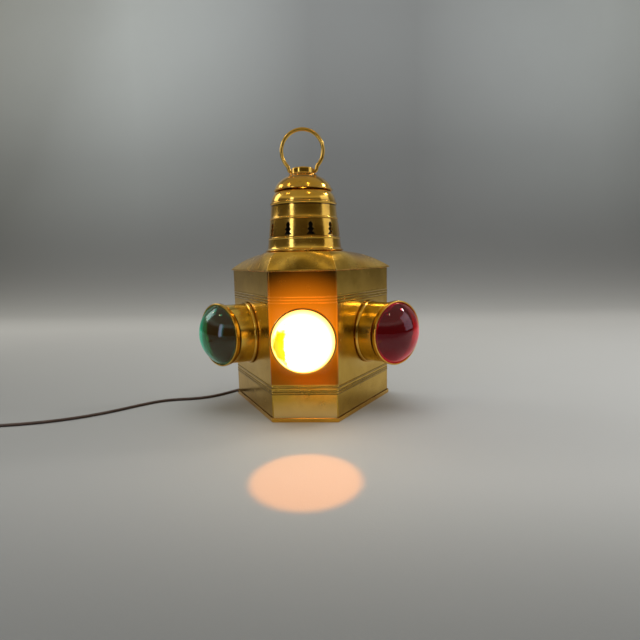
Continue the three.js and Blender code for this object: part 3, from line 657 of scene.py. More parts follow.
# plug
px, py = -456.7, -148.9
o = [(-4.6, 0), (4.6, 0), (6.4, -5), (11.0, -12), (12.6, -17), (12.6, -26), (-12.6, -26), (-12.6, -17), (-11.0, -12), (-6.4, -5)]
outline = curve([(*p, 0) for p in [o[0], o[9], o[8], o[7]]], 1.2)[:, :2].tolist() + [(-12.6, -25.9), (12.6, -25.9)] + curve([(*p, 0) for p in [o[4], o[3], o[2], o[1]]], 1.2)[:, :2].tolist()
rings = []
for t, z in ((0.80, 0.25), (0.93, 0.7), (0.99, 2.0), (1.0, 4.4), (1.0, 8.2), (0.985, 10.4), (0.93, 11.7), (0.80, 12.3)):
    rings.append([(px + x * t, py + (y + 13) * (0.55 + 0.45 * t) - 13, z) for x, y in outline])
plug = loft("plug_shell", rings, M_BAKE, "housing", "black_rubber", ("plug_body",))
weigh(plug, 50)

# inside lead, from the gland to the lamp holder
inner = curve([(-38, BACK_Y - 5.0, 12), (-38, 62, 11.5), (-36, 48, 7), (-30, 32, 4.0), (-19, 20, 3.4), (-8, 15.5, 3.6), (-2.5, 11.5, 4.4), (-0.6, 6.5, 5.4), (0, 2.2, 6.6)], 2.0)
iv, jf = tube_mesh(inner, section, level=True)
piece("inside_lead", iv, jf, M_CORD, "housing", "cord_brown", ("inner_lead",))

# ------------------------------------------------------------------ plan outline
FRONT_Y, FRONT_HALF, SIDE_LEN, ANG = -52.0, 40.0, 145.8, math.radians(60)
SX, SY = SIDE_LEN * math.cos(ANG), SIDE_LEN * math.sin(ANG)
PLAN = [(-FRONT_HALF, FRONT_Y), (FRONT_HALF, FRONT_Y), (FRONT_HALF + SX, FRONT_Y + SY), (-FRONT_HALF - SX, FRONT_Y + SY)]


def plan(off):
    out, n = [], 4
    for i, p in enumerate(PLAN):
        p, a, b = np.array(p), np.array(PLAN[(i - 1) % n]), np.array(PLAN[(i + 1) % n])
        n1 = np.array([-(p - a)[1], (p - a)[0]]) / np.linalg.norm(p - a)
        n2 = np.array([-(b - p)[1], (b - p)[0]]) / np.linalg.norm(b - p)
        out.append(p + (n1 + n2) * off / (1 + n1 @ n2))
    return out


def outline_round(off, rad, seg=6, along=0):
    """The plan moved inwards by off, corners rounded, with a point beside each corner."""
    Q = plan(off)
    out = []
    for i, p in enumerate(Q):
        a, b = Q[(i - 1) % 4], Q[(i + 1) % 4]
        ua, ub = (a - p) / np.linalg.norm(a - p), (b - p) / np.linalg.norm(b - p)
        half = math.acos(max(-1, min(1, ua @ ub))) / 2
        d = rad / math.tan(half)
        centre = p + (ua + ub) / np.linalg.norm(ua + ub) * rad / math.sin(half)
        A, B = p + ua * d, p + ub * d
        out.append(p + ua * (d + 0.8))
        va, vb = A - centre, B - centre
        t0, t1 = math.atan2(va[1], va[0]), math.atan2(vb[1], vb[0])
        while t1 < t0:
            t1 += 2 * math.pi
        for t in np.linspace(t0, t1, seg + 1):
            out.append(centre + rad * np.array([math.cos(t), math.sin(t)]))
        out.append(p + ub * (d + 0.8))
        if along:
            s, e = p + ub * (d + 0.8), None
            q = Q[(i + 1) % 4]
            h2 = -ub
            end = q + h2 * (d + 0.8)
            for k in range(1, along):
                out.append(s + (end - s) * k / along)
    return out


# ------------------------------------------------------------------ base pan
rings = []
for off, z in ((0.25, 0.0), (0.06, 0.06), (0.0, 0.25), (0.0, 0.6), (0.0, 4.3), (0.05, 4.7), (0.22, 4.93), (0.5, 5.0), (0.78, 4.93), (0.95, 4.7), (1.0, 4.3), (1.0, 1.8), (1.15, 1.35), (1.6, 1.2), (2.4, 1.2)):
    rings.append([(x, y, z) for x, y in outline_round(off, 2.6 - min(off, 1.2), 7)])
pan = loft("base_tray", rings, M_BRASS, "housing", "polished_brass", ("base_pan",))
weigh(pan, 50)

# ------------------------------------------------------------------ housing shell
IN = 1.3
prof = [(IN + 0.2, 1.5), (IN, 1.7), (IN, 2.4)]
for z in (35.4, 38.5, 43.4, 144.2, 147.7, 151.1):
    prof.append((IN, z - 1.5))
    for t in np.linspace(-1, 1, 9):
        prof.append((IN - 0.55 * (0.5 + 0.5 * math.cos(math.pi * t)), z + 1.15 * t))
    prof.append((IN, z + 1.5))
prof += [(IN, 179.8), (IN, 180.4), (IN + 0.2, 180.6), (IN + 1.0, 180.6), (IN + 1.0, 1.5)]
clean = []
for q in prof:
    if not clean or abs(q[1] - clean[-1][1]) > 0.02 or abs(q[0] - clean[-1][0]) > 0.02:
        if clean and q[1] < clean[-1][1] and q[1] > 10 and clean[-1][0] < IN + 0.5 and q[0] <= IN:
            continue
        clean.append(q)
rings = [[(x, y, z) for x, y in outline_round(off, max(0.9, 2.4 - (off - IN)), 6)] for off, z in clean]
shell = loft("housing_shell", rings, M_BODY, "housing", "housing_brass", ("body_shell",), loop=True)
CX, CY = FRONT_HALF + (SIDE_LEN / 2 + 11.3) * math.cos(ANG), FRONT_Y + (SIDE_LEN / 2 + 11.3) * math.sin(ANG)
LENS_Z = 98.8


def lens_frame(s):
    return Matrix.Translation((s * CX, CY, LENS_Z)) @ Matrix.Rotation(s * ANG, 4, "Z") @ Matrix.Rotation(math.pi / 2, 4, "X")


def mouth_frame(s):
    # the mitred mouth of a side tube
    return Matrix.Translation((s * (CX + 38.8 * math.sin(ANG)), CY - 38.8 * math.cos(ANG), LENS_Z)) @ Matrix.Rotation(s * math.radians(40.5), 4, "Z") @ Matrix.Rotation(math.pi / 2, 4, "X")


FRONT_FRAME = Matrix.Translation((0, FRONT_Y, LENS_Z + 0.4)) @ Matrix.Rotation(math.pi / 2, 4, "X")
TO_REAR = Matrix.Rotation(-math.pi / 2, 4, "X")
rod = lambda r, z0, z1, n=72: turned_mesh([(0, z0), (r, z0), (r, z1), (0, z1)], n, False)
cut_by(
    shell,
    moved(rod(38.95, -10, 10), lens_frame(1)),
    moved(rod(38.95, -10, 10), lens_frame(-1)),
    moved(rod(33.5, -6, 6), FRONT_FRAME),
    box_mesh(-50, BACK_Y - 6, 32, 50, BACK_Y + 6, 148),
    moved(rod(4.6, -6, 6, 32), Matrix.Translation((-38, BACK_Y, 12)) @ TO_REAR),
)
weigh(shell, 40)

# ------------------------------------------------------------------ roof
NECK_R, EAVE_Z, RISE = 46.2, 182.2, 21.9


def reach(a, off):
    q, d, best = plan(off), np.array([math.cos(a), math.sin(a)]), 0
    for i in range(4):
        p, e = q[i], q[(i + 1) % 4] - q[i]
        den = d[0] * e[1] - d[1] * e[0]
        if abs(den) > 1e-9:
            t, u = (p[0] * e[1] - p[1] * e[0]) / den, (p[0] * d[1] - p[1] * d[0]) / den
            if t > 0 and -1e-9 < u < 1 + 1e-9:
                best = t
    return best


corners = sorted((math.atan2(y, x) + 2 * math.pi) % (2 * math.pi) for x, y in PLAN)
angles = []
for i, a in enumerate(corners):
    b = corners[i + 1] if i < 3 else corners[0] + 2 * math.pi
    angles += [a, a + math.radians(0.5), a + math.radians(1.4)]
    m = max(8, round((b - a) / math.radians(2.6)))
    angles += [a + math.radians(1.4) + (b - a - math.radians(2.8)) * k / m for k in range(1, m)]
    angles += [b - math.radians(1.4), b - math.radians(0.5)]


def roof_ring(t, z, off, drop):
    out = []
    for a in angles:
        Rr = reach(a, off)
        r = Rr + (NECK_R - off - Rr) * t
        out.append((r * math.cos(a), r * math.sin(a), z - drop))
    return out


rise = lambda t: RISE * (1 - (1 - t) ** 2.1)
T = [0.0, 0.006, 0.016, 0.035] + list(np.linspace(0.06, 1, 26))
rings = [roof_ring(0, EAVE_Z - 1.3, 0.15, 0), roof_ring(0, EAVE_Z - 1.15, 0.0, 0), roof_ring(0, EAVE_Z - 0.8, 0.0, 0), roof_ring(0, EAVE_Z - 0.35, 0.0, 0), roof_ring(0, EAVE_Z - 0.08, 0.1, 0)]
rings += [roof_ring(t, EAVE_Z + rise(t), 0.3 if t == 0 else 0, 0) for t in T]
rings += [roof_ring(t, EAVE_Z + rise(t), 1.1, 1.1) for t in reversed(T)]
rings += [roof_ring(0, EAVE_Z - 1.3, 1.1, 0)]
roof = loft("roof_sheet", rings, M_ROOF, "housing", "polished_brass", ("roof",), loop=True)
weigh(roof, 60)

# ------------------------------------------------------------------ chimney
turned("chimney_base_tier", [[45.9, 204.5], [47.6, 204.5], [48.3, 205.0], [48.3, 205.9], [47.5, 206.4], [46.3, 207.4, 0.6], [45.75, 209.5], [45.2, 213.5], [44.6, 218.4, 0.5], [45.1, 219.2, 0.4], [45.0, 220.5, 0.4],
       [44.0, 221.2], [42.9, 221.2], [43.6, 216], [44.5, 208.5], [44.9, 205.6]], M_BRASS, "polished_brass", replaces=("chimney_base",), fr=0.35)
band = turned("vent_band_pierced", [[43.8, 221.5, 0.15], [43.7, 226], [42.0, 241.6, 0.15], [40.9, 241.6, 0.15], [42.6, 226], [42.7, 221.5, 0.15]], M_BRASS, "polished_brass", replaces=("vent_band",), n=180)
half = [(0, 238.1), (1.2, 237.1), (2.4, 235.4), (2.7, 233.8), (1.8, 231.6), (3.7, 229.9), (3.8, 229), (2.2, 226.9), (3.2, 225.2), (5.0, 223.3), (4.9, 222.9)]
fine = curve([(x, z, 0) for x, z in half], 0.45)[:, :2]
shape = [(x, z) for x, z in fine] + [(-x, z) for x, z in reversed(fine[1:])]
cuts = []
for i in range(10):
    a = math.radians(15.1 + 36 * i)
    v = [(x, -30.0, z) for x, z in shape] + [(x, -60.0, z) for x, z in shape]
    n = len(shape)
    f = [[j, (j + 1) % n, n + (j + 1) % n, n + j] for j in range(n)] + [list(range(n)), [n + j for j in range(n)][::-1]]
    cuts.append(moved((v, f), Matrix.Rotation(a, 4, "Z")))
cut_by(band, *cuts)


def round_rule(fn, co):
    er = co.copy()
    er[:, 2] = 0
    er /= np.maximum(np.linalg.norm(er, axis=1)[:, None], 1e-9)
    slope = np.where(co[:, 2] > 0.226, 0.109, 0.022)
    out = er.copy()
    out[:, 2] = slope
    out /= np.linalg.norm(out, axis=1)[:, None]
    d = (fn * er).sum(1)
    return np.where((d > 0.8)[:, None], out, np.where((d < -0.8)[:, None], -out, fn))


normals(band, round_rule)
turned("chimney_upper_tier", [[41.7, 241.9], [42.4, 242.3], [42.6, 243.1], [42.4, 243.9], [41.65, 244.5, 0.4], [41.2, 247.5], [40.7, 253], [40.2, 259.4, 0.5], [40.9, 260.4], [41.25, 261.3], [41.1, 262.2], [40.5, 262.6],
       [38.9, 262.6], [39.1, 259], [40.2, 246], [40.6, 241.9]], M_BRASS, "polished_brass", replaces=("chimney_upper",), fr=0.35)
outer = curve([(40.0, 262.9, 0), (39.4, 266.5, 0), (38.0, 270.5, 0), (35.9, 273.8, 0), (33.6, 276.4, 0)], 0.9)[:, :2]
inside = curve([(32.5, 276.4, 0), (34.9, 273.2, 0), (36.9, 270, 0), (38.3, 266.2, 0), (38.9, 262.9, 0)], 1.5)[:, :2]
turned("chimney_hood_tier", [*outer.tolist(), *inside.tolist()], M_BRASS, "polished_brass", replaces=("chimney_hood",), fr=0.25)
outer = curve([(35.4, 279.0, 0), (33.5, 283.2, 0), (29.0, 288.6, 0), (23.5, 292.6, 0), (18.6, 295.0, 0)], 0.9)[:, :2]
inside = curve([(16.9, 293.8, 0), (22.8, 291.4, 0), (28.2, 287.6, 0), (32.5, 282.5, 0), (34.2, 278.4, 0)], 1.5)[:, :2]
turned("chimney_cap_dome", [(34.8, 276.9), (35.8, 277.1), (36.25, 277.6), (36.3, 278.3), *outer.tolist(), (16.9, 295.0), *inside.tolist()], M_BRASS, "polished_brass", replaces=("chimney_cap",), fr=0.3)
turned("flue_liner", [[33.0, 199.0], [33.0, 258.0, 1.5], [35.6, 262.0], [35.2, 262.4], [32.2, 258.4, 1.5], [32.2, 199.0]], M_INNER, "housing_brass", replaces=("inner_flue",), n=96)
collar = turned("finial_collar_turned", [[0, 295.4], [17.8, 295.4, 0.25], [17.95, 296.2, 0.35], [16.0, 296.8, 0.6], [14.0, 297.6, 0.9], [13.8, 303.6, 0.7], [12.9, 304.5, 0.5], [0, 304.5]], M_BRASS, "polished_brass", replaces=("finial_collar",), n=120)
hole = moved(turned_mesh([(0, -30), (2.9, -30), (2.9, 30), (0, 30)], 48, False), Matrix.Translation((0, 0, 300.6)) @ Matrix.Rotation(math.pi / 2, 4, "Y"))
cut_by(collar, hole)
weigh(collar, 35)

# lifting ring
RZ, RR, RW = 325.1, 25.4, 2.2
a0 = math.acos((307.2 - RZ) / RR)
pts = [(RR * math.sin(a), 0, RZ + RR * math.cos(a)) for a in np.linspace(-a0, a0, 90)]
low = curve([pts[-3], pts[-1], (17.35, 0, 304.6), (16.7, 0, 302.4), (15.6, 0, 301.1), (14.2, 0, 300.6), (9, 0, 300.6), (0, 0, 300.6)], 0.9)
low = [p for p in low.tolist() if p[2] < pts[-1][2] - 0.4]
ring_path = pts + low + [(-x, 0, z) for x, _, z in reversed(low[:-1])]
circle = [(RW * math.cos(t), RW * math.sin(t)) for t in np.linspace(0, 2 * math.pi, 24, endpoint=False)]
rv, rf = tube_mesh(ring_path, circle, closed=True)
piece("lifting_ring_wire", rv, rf, M_BRASS, "ring", "polished_brass", ("lifting_ring",))


# ------------------------------------------------------------------ lenses
def dome(r0, h, z, k=40):
    Rr = (r0 * r0 + h * h) / (2 * h)
    e = math.asin(min(1, r0 / Rr))
    return [(0.0 if i == k else Rr * math.sin(e * (1 - i / k)), z + h - Rr + Rr * math.cos(e * (1 - i / k))) for i in range(k + 1)]


for s, label, mat, slot in ((1, "port", M_RED, "red_glass"), (-1, "starboard", M_GREEN, "green_glass")):
    L = lens_frame(s)
    E = mouth_frame(s)
    tube = turned(label + "_tube_drawn", [[38.6, -9], [38.6, 70], [37.6, 70], [37.6, -9]], M_TUBE, "polished_brass", replaces=(label + "_tube",), M=L, n=160, fr=0.2)
    cut_by(tube, moved(box_mesh(-90, -60, -5.3, 90, 60, 90), E))
    weigh(tube, 35)
    turned(label + "_base_ring_rolled", [[38.95, -0.35], [41.0, -0.4], [41.2, 0.6], [40.7, 2.0], [39.7, 2.9], [38.95, 3.0]], M_BRASS, "polished_brass", replaces=(label + "_base_ring",), M=L, n=160, fr=0.45)
    turned(label + "_gasket_seat", [[37.8, -4.3], [40.0, -4.3], [40.0, -3.5], [37.8, -3.5]], M_RUBBER, "black_rubber", replaces=(label + "_gasket",), M=E, n=96, fr=0.15)
    turned(label + "_bezel_rolled", [[36.6, -5.2, 0.2], [40.6, -5.2, 0.4], [41.2, -4.7, 0.4], [41.4, -0.2, 0.5], [41.1, 0.7, 0.5], [40.3, 1.0, 0.3], [39.4, 0.9, 0.25], [39.4, 0.1, 0.15], [40.35, -0.2, 0.2], [40.4, -4.4, 0.2], [36.6, -4.4, 0.2]],
           M_BRASS, "polished_brass", replaces=(label + "_bezel",), M=E, n=160, k=4)
    bowl = dome(35.6, 18.0, -0.5)[::-1]
    turned(label + "_lens_dome", [(35.6, -3.2), (40.1, -3.2), (40.1, -0.5), *dome(39.0, 21.5, -0.5), *bowl], mat, slot, replaces=(label + "_lens",), M=E, n=128, fr=0.25)
turned("front_gasket_seat", [[34.5, -1.0], [38.2, -1.0], [38.2, -0.3], [34.5, -0.3]], M_RUBBER, "black_rubber", replaces=("front_gasket",), M=FRONT_FRAME, n=96, fr=0.1)
turned("front_bezel_rolled", [[38.5, -0.9, 0.1], [39.6, -0.9, 0.2], [39.6, 3.0, 0.5], [39.1, 3.8, 0.4], [37.4, 3.9, 0.2], [37.4, 3.0, 0.2], [38.5, 2.8, 0.2]], M_BRASS, "polished_brass", replaces=("front_bezel",), M=FRONT_FRAME, n=160)
turned("front_lens_dome", [(0, 0.0), (38.2, 0.0), (38.2, 2.5), *dome(37.0, 30.0, 2.5)], M_CLEAR, "clear_glass", replaces=("front_lens",), M=FRONT_FRAME, n=128, fr=0.2)

# ------------------------------------------------------------------ rear door, hinge and turn button
WALL_Y = BACK_Y - IN
DOOR_Y = WALL_Y + 0.85


def rrect(x0, z0, x1, z1, r, inset, y, seg=6):
    x0, z0, x1, z1, r = x0 + inset, z0 + inset, x1 - inset, z1 - inset, max(0.4, r - inset)
    out = []
    for cx, cz, s in ((x1 - r, z0 + r, -90), (x1 - r, z1 - r, 0), (x0 + r, z1 - r, 90), (x0 + r, z0 + r, 180)):
        out.append((cx + (0 if s in (-90, 90) else r * (1 if s == 0 else -1)) - (0.0), y, cz + (0 if s in (0, 180) else r * (-1 if s == -90 else 1))))
        for a in np.linspace(s, s + 90, seg + 1)[1:]:
            out.append((cx + r * math.cos(math.radians(a)), y, cz + r * math.sin(math.radians(a))))
    return out


panel = [(0.5, 0.35), (0.5, 0.0), (0.15, 0.0), (0.0, 0.15), (0.0, 0.8), (0.1, 1.02), (0.35, 1.1), (4.6, 1.1), (5.0, 1.07), (5.5, 0.93), (6.1, 0.86), (7.5, 0.85), (8.1, 0.87), (8.7, 0.95), (9.2, 1.05), (9.7, 1.1), (10.6, 1.1)]
rings = [rrect(-54, 26, 54, 154, 3.0, i, DOOR_Y + y) for i, y in panel]
rings.insert(0, rrect(-54, 26, 54, 154, 3.0, 4.5, DOOR_Y + 0.35))
door = loft("rear_door_panel", rings, M_BODY, "door", "housing_brass", ("rear_door",))
weigh(door, 45)

HX, HY = 57.5, BACK_Y + 1.6
K = [(60, 71.6), (72.2, 83.8), (84.4, 95.6), (96.2, 107.8), (108.4, 120)]


def knuckle(z0, z1):
    return moved(turned_mesh(fillet([[1.5, z0, 0.1], [2.5, z0, 0.25], [2.5, z1, 0.25], [1.5, z1, 0.1]], 0.2, 2), 40), Matrix.Translation((HX, HY, 0)))


def leaf(name, x0, x1, y0, y1, gaps, mine, near, node, body):
    """A plate with notches for the other leaf's knuckles, and its own knuckles."""
    parts = []
    zs = [60.0]
    for a, b in gaps:
        zs += [a - 0.4, b + 0.4]
    zs.append(120.0)
    back = x0 if near == "right" else x1
    inner_x = (x1 - 3.4) if near == "right" else (x0 + 3.4)
    plate = box_mesh(min(back, inner_x), y0, 60.0, max(back, inner_x), y1, 120.0)
    parts.append(plate)
    for a, b in mine:
        e0, e1 = (inner_x, x1) if near == "right" else (x0, inner_x)
        parts.append(box_mesh(e0, y0, a, e1, y1, b))
    v, f = both(*parts)
    o = piece(name, v, f, M_BRASS, body, "polished_brass", (node,))
    bevelled(o, 0.22, 2)
    kn = both(*[knuckle(a, b) for a, b in mine])
    extra = piece(name + "_knuckles", kn[0], kn[1], M_BRASS, body, "polished_brass", (node,))
    return o, extra


leaf("door_hinge_plate", 28, HX - 0.4, DOOR_Y + 1.45, DOOR_Y + 2.45, [], [K[1], K[3]], "right", "hinge_door_leaf", "door")
leaf("wall_hinge_plate", HX + 0.4, 84, WALL_Y + 0.3, WALL_Y + 1.3, [], [K[0], K[2], K[4]], "left", "hinge_wall_leaf", "housing")
webs = both(*[box_mesh(HX + 0.5, WALL_Y + 0.5, a + 0.1, HX + 3.0, HY, b - 0.1) for a, b in (K[0], K[2], K[4])])
web = piece("wall_hinge_webs", webs[0], webs[1], M_BRASS, "housing", "polished_brass", ("hinge_wall_leaf",))
bevelled(web, 0.15, 1)
turned("hinge_pin_turned", [[0, 58.2], [1.7, 58.3, 0.3], [1.9, 59.0, 0.3], [1.9, 59.6, 0.1], [1.2, 59.6, 0.1], [1.2, 120.4, 0.1], [1.9, 120.4, 0.1], [1.9, 121.0, 0.3], [1.6, 121.7, 0.3], [0, 121.8]], M_STEEL, "zinc_steel",
       replaces=("hinge_pin",), n=36, M=Matrix.Translation((HX, HY, 0)))
turned("door_knob_turned", [[0, 0], [3.4, 0, 0.1], [3.4, 0.9, 0.3], [2.1, 1.7, 0.5], [1.9, 3.0, 0.5], [2.4, 4.5, 0.6], [4.0, 5.8, 0.7], [4.5, 7.2, 0.7], [4.0, 8.6, 0.7], [2.2, 9.5, 0.6], [0, 9.6]], M_BRASS, "polished_brass", body="door",
       replaces=("door_knob",), n=64, M=Matrix.Translation((-41, DOOR_Y + 1.4, 90)) @ TO_REAR)
y0 = DOOR_Y + 1.75
bar = []
for rr, y in ((3.3, 0.0), (3.6, 0.25), (3.6, 1.1), (3.45, 1.38), (3.1, 1.5)):
    ringp = []
    for a in np.linspace(180, 360, 15):
        ringp.append((-61 + rr * math.cos(math.radians(a)), y0 + y, 81 + rr * math.sin(math.radians(a))))
    for a in np.linspace(0, 180, 15):
        ringp.append((-61 + rr * math.cos(math.radians(a)), y0 + y, 99 + rr * math.sin(math.radians(a))))
    bar.append(ringp)
button = loft("turn_button_bar", bar, M_BRASS, "button", "polished_brass", ("turn_button",))
weigh(button, 50)
turned("turn_button_screw", [[0, -3.4], [1.2, -3.4], [1.2, 0.0, 0.1], [3.0, 0.0, 0.1], [3.0, 2.0, 0.2], [1.5, 2.0, 0.1], [1.5, 4.2, 0.1], [3.2, 4.2, 0.2], [2.9, 5.0, 0.5], [1.6, 5.6, 0.4], [0, 5.7]], M_BRASS, "polished_brass",
       replaces=("turn_button_stud",), n=48, M=Matrix.Translation((-61, WALL_Y + 0.3, 90)) @ TO_REAR)

# ------------------------------------------------------------------ lamp holder
from_cad("lamp_bracket", M_STEEL, bevel=0.3)
for n_, x in (("bracket_screw_left", -26), ("bracket_screw_right", 26)):
    turned(n_ + "_head", [[0, 0.5], [1.55, 0.5, 0.1], [1.55, 3.15, 0.1], [3.4, 3.15, 0.2], [3.3, 4.2, 0.4], [2.5, 5.0, 0.5], [0, 5.3]], M_STEEL, "zinc_steel", replaces=(n_,), n=40, M=Matrix.Translation((x, 0, 0)))
thread = [[3.2, 9.2], [4.6, 9.2]]
for i in range(15):
    z = 9.8 + i
    thread += [[4.95, z, 0.1], [4.55, z + 0.5, 0.1]]
thread += [[4.6, 25.5], [3.2, 25.5]]
turned("nipple_thread", thread, M_STEEL, "zinc_steel", replaces=("threaded_nipple",), n=40, fr=0.1)
from_cad("lock_nut", M_STEEL, bevel=0.35)
turned("socket_cap_spun", [[5.35, 16.4], [9, 16.4, 0.8], [12.2, 17.6, 0.8], [14.9, 19.8, 1.2], [16.8, 22.6, 1.0], [17.2, 24.6, 0.8], [17.2, 31.0], [16.2, 31.0], [16.2, 24.8, 0.8], [13.8, 20.4, 1.0], [8.8, 17.5, 0.6], [5.35, 17.5]], M_BRASS, "polished_brass",
       replaces=("socket_cap",), n=72)
shellp = [[16.9, 31.4]]
for z in (36, 60):
    shellp += [[16.9, z - 1.0], [16.5, z - 0.4, 0.2], [16.5, z + 0.4, 0.2], [16.9, z + 1.0]]
shellp += [[16.9, 66.0], [15.9, 66.0], [15.9, 31.4]]
turned("socket_shell_spun", shellp, M_BRASS, "polished_brass", replaces=("socket_shell",), n=72)
turned("socket_liner", [[0, 29.6], [14.6, 29.6], [14.6, 64.0], [13.9, 64.0], [13.9, 42.0], [0, 42.0]], M_BAKE, "black_rubber", replaces=("socket_insulator",), n=48)
from_cad("switch_key", M_BAKE, body="key", bevel=0.35)
screwp = [[0, 43.0], [3.4, 43.0, 0.4], [6.5, 45.6, 0.6], [12.2, 49.5, 0.6]]
for i in range(4):
    z = 51.0 + i * 3.6
    screwp += [[13.2, z + 0.9, 0.8], [12.5, z + 2.7, 0.8]]
screwp += [[13.2, 66.8], [12.0, 66.8], [12.0, 50.0], [0, 47.0]]
turned("bulb_screw_base", screwp, M_BRASS, "polished_brass", replaces=("bulb_base",), n=48)
bo = curve([(12.6, 67.2, 0), (12.9, 71.5, 0), (19.2, 83.0, 0), (23.2, 96.0, 0), (20.6, 107.5, 0), (11.5, 116.6, 0), (0, 119.1, 0)], 1.6)[:, :2]
bi = curve([(0, 118.0, 0), (11.0, 115.5, 0), (19.6, 106.9, 0), (22.1, 96.0, 0), (18.2, 83.4, 0), (11.8, 71.7, 0), (11.5, 67.2, 0)], 1.8)[:, :2]
bo[-1, 0] = bi[0, 0] = 0.0
v1, f1 = turned_mesh(np.vstack([bo, bi]), 64, False)
m = len(bo) + len(bi)
v2, f2 = turned_mesh([bi[-1], bo[0]], 64, False)
piece("bulb_envelope", *both((v1, f1), (v2, f2)), M_BULB, "housing", "bulb_glass", ("bulb_glass",))
turned("bulb_stem", [[0, 50.6], [3.6, 50.6], [3.6, 80, 1.5], [1.2, 88, 1.0], [1.2, 101, 0.5], [0, 101]], M_BULB, "bulb_glass", replaces=("bulb_filament",), n=32)
for n_ in ("plug_blade_left", "plug_blade_right"):
    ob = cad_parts[n_]
    ob.data.materials.clear()
    ob.data.materials.append(M_BRASS)

# ------------------------------------------------------------------ stage
def backdrop():
    g = Graph("backdrop_painted_light")
    x, y, z = g.xyz()[:3]
    # painted light and shade: the floor is darker on the left and lighter on the right, lighter behind the lamp, darker
    # towards the camera and where it turns up into the wall; the wall is lighter higher up, most of all towards the
    # sides
    far = g.span(y, 0.75, 1.65, kind="SMOOTHSTEP")
    up = g.span(z, 0.0, 1.4, kind="SMOOTHSTEP")
    side = g.span(x, -0.7, 0.6)
    near = g.mix(side, (0.235, 0.237, 0.228), (0.545, 0.55, 0.535))
    near = g.mix(g.span(y, 0.0, 0.7), near, (0.50, 0.495, 0.47))
    near = g.mix(g.span(y, -0.17, -0.42, kind="SMOOTHSTEP"), near, (0.178, 0.184, 0.180))
    col = g.mix(far, near, (0.140, 0.143, 0.141))
    edge = g.span(g.math("ABSOLUTE", g.math("ADD", x, -0.15)), 0.25, 1.1)
    col = g.mix(up, col, g.mix(edge, (0.365, 0.385, 0.39), (0.77, 0.83, 0.83)))
    col = g.mix(g.math("MULTIPLY", g.noise(6, 4, 0.6), 0.10), col, (0.30, 0.30, 0.29))
    h = g.bump(g.noise(500, 4, 0.6), 0.00015)
    return g.done(Base_Color=col, Roughness=0.8, Normal=h)


prof = [(-3000, 0), (-1500, 0)] + [(y, 0) for y in range(-1200, 1001, 200)]
for a in np.linspace(0, 90, 16)[1:]:
    prof.append((1000 + 700 * math.sin(math.radians(a)), 700 - 700 * math.cos(math.radians(a))))
prof += [(1700, 1100), (1700, 1700), (1700, 3000)]
v, f = [], []
xs = np.linspace(-4500, 4500, 10)
for y, z in prof:
    v += [(x, y, z) for x in xs]
for i in range(len(prof) - 1):
    for j in range(len(xs) - 1):
        a = i * len(xs) + j
        f.append((a, a + 1, a + 1 + len(xs), a + len(xs)))
me = bpy.data.meshes.new("backdrop")
me.from_pydata([(a * MM, b * MM, c * MM) for a, b, c in v], [], f)
me.polygons.foreach_set("use_smooth", [True] * len(me.polygons))
me.materials.append(backdrop())
floor = bpy.data.objects.new("backdrop", me)
scene.collection.objects.link(floor)
floor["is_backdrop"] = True


# ------------------------------------------------------------------ lights
def aim(o, target):
    o.rotation_mode = "QUATERNION"
    o.rotation_quaternion = (Vector(target) - o.location).to_track_quat("-Z", "Y")


def area(name, at, to, w, h, power, color=(1, 1, 1)):
    d = bpy.data.lights.new(name, "AREA")
    d.shape, d.size, d.size_y, d.energy, d.color = "RECTANGLE", w, h, power, color
    o = bpy.data.objects.new(name, d)
    o.location = at
    scene.collection.objects.link(o)
    aim(o, to)
    return o


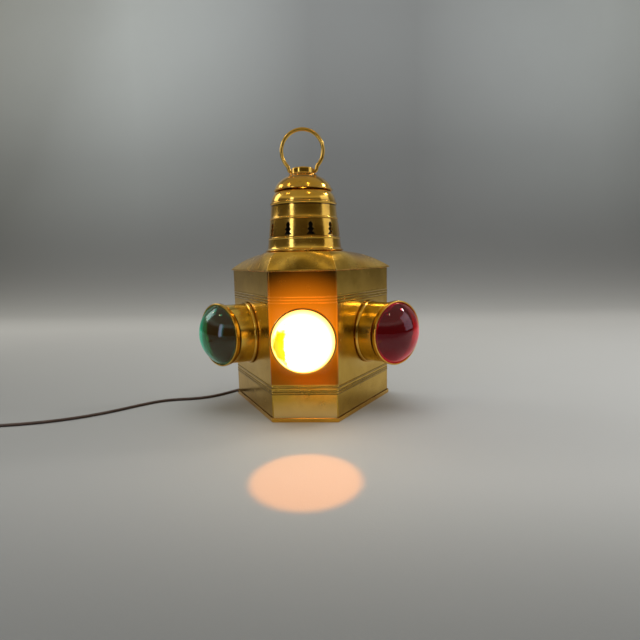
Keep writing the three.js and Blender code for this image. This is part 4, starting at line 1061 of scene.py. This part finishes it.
area("strip_left", (-0.92, -1.25, 0.45), (0, 0, 0.22), 0.28, 1.1, 2.6, (0.86, 0.96, 1.35))
area("softbox_right", (1.75, -0.05, 0.75), (0, 0, 0.2), 1.1, 1.2, 3.6, (0.90, 0.96, 1.2))
area("overhead", (0.1, 0.2, 2.2), (0, 0, 0), 1.8, 1.4, 26, (0.98, 1.0, 1.03)).visible_glossy = False
area("ceiling_right", (1.40, 0.54, 1.35), (0, 0, 0.1), 0.16, 0.16, 3.6, (1.0, 0.97, 0.94))
area("fill_left_rear", (-1.7, 0.6, 1.1), (0, 0, 0.2), 0.8, 0.8, 5, (0.97, 0.99, 1.0))
for i, at in enumerate(((0.70, -1.05, 2.2), (-1.60, -0.56, 2.2), (-2.50, 0.90, 2.2))):
    area("downlight_%d" % (i + 1), at, (0, 0, 0.2), 0.13, 0.13, 1.6, (1.0, 0.78, 0.42))

spot = bpy.data.lights.new("lens_pool", "SPOT")
spot.energy, spot.color = 20, (1.0, 0.30, 0.0)
spot.spot_size, spot.spot_blend, spot.shadow_soft_size = math.radians(10.4), 0.35, 0.004
so = bpy.data.objects.new("lens_pool", spot)
so.location = (0.03, -0.36, 0.58)
scene.collection.objects.link(so)
aim(so, (0.0125, -0.1935, 0))

bulb = bpy.data.lights.new("bulb_light", "POINT")
bulb.energy, bulb.color, bulb.shadow_soft_size = 0.03, (1.0, 0.62, 0.26), 0.012
bo_ = bpy.data.objects.new("bulb_light", bulb)
bo_.location = (0, 0, 0.128)
scene.collection.objects.link(bo_)

w = Graph("studio", world=True)
d = w.node("ShaderNodeTexCoord").outputs["Generated"]
zz = w.node("ShaderNodeSeparateXYZ", {"Vector": d}).outputs
room = w.ramp(w.span(zz[2], -0.2, 1.0), [(0.0, (0.10, 0.09, 0.07)), (0.18, (0.050, 0.042, 0.030)), (0.46, (0.10, 0.09, 0.07)), (0.53, (0.46, 0.44, 0.38)), (0.58, (0.56, 0.53, 0.46)), (0.66, (0.32, 0.30, 0.25)), (1.0, (0.34, 0.32, 0.27))])
front = w.math("MULTIPLY", w.span(zz[1], -0.2, -0.9), w.span(zz[2], 0.45, 0.15))
room = w.mix(front, room, (0.046, 0.034, 0.018))
seen = w.node("ShaderNodeLightPath").outputs["Is Camera Ray"]
bg = w.node("ShaderNodeBackground", {"Color": w.mix(seen, room, (0.42, 0.43, 0.43)), "Strength": 1.0})
w.t.links.new(bg.outputs[0], w.node("ShaderNodeOutputWorld").inputs["Surface"])
scene.world = w.mat

low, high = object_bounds()
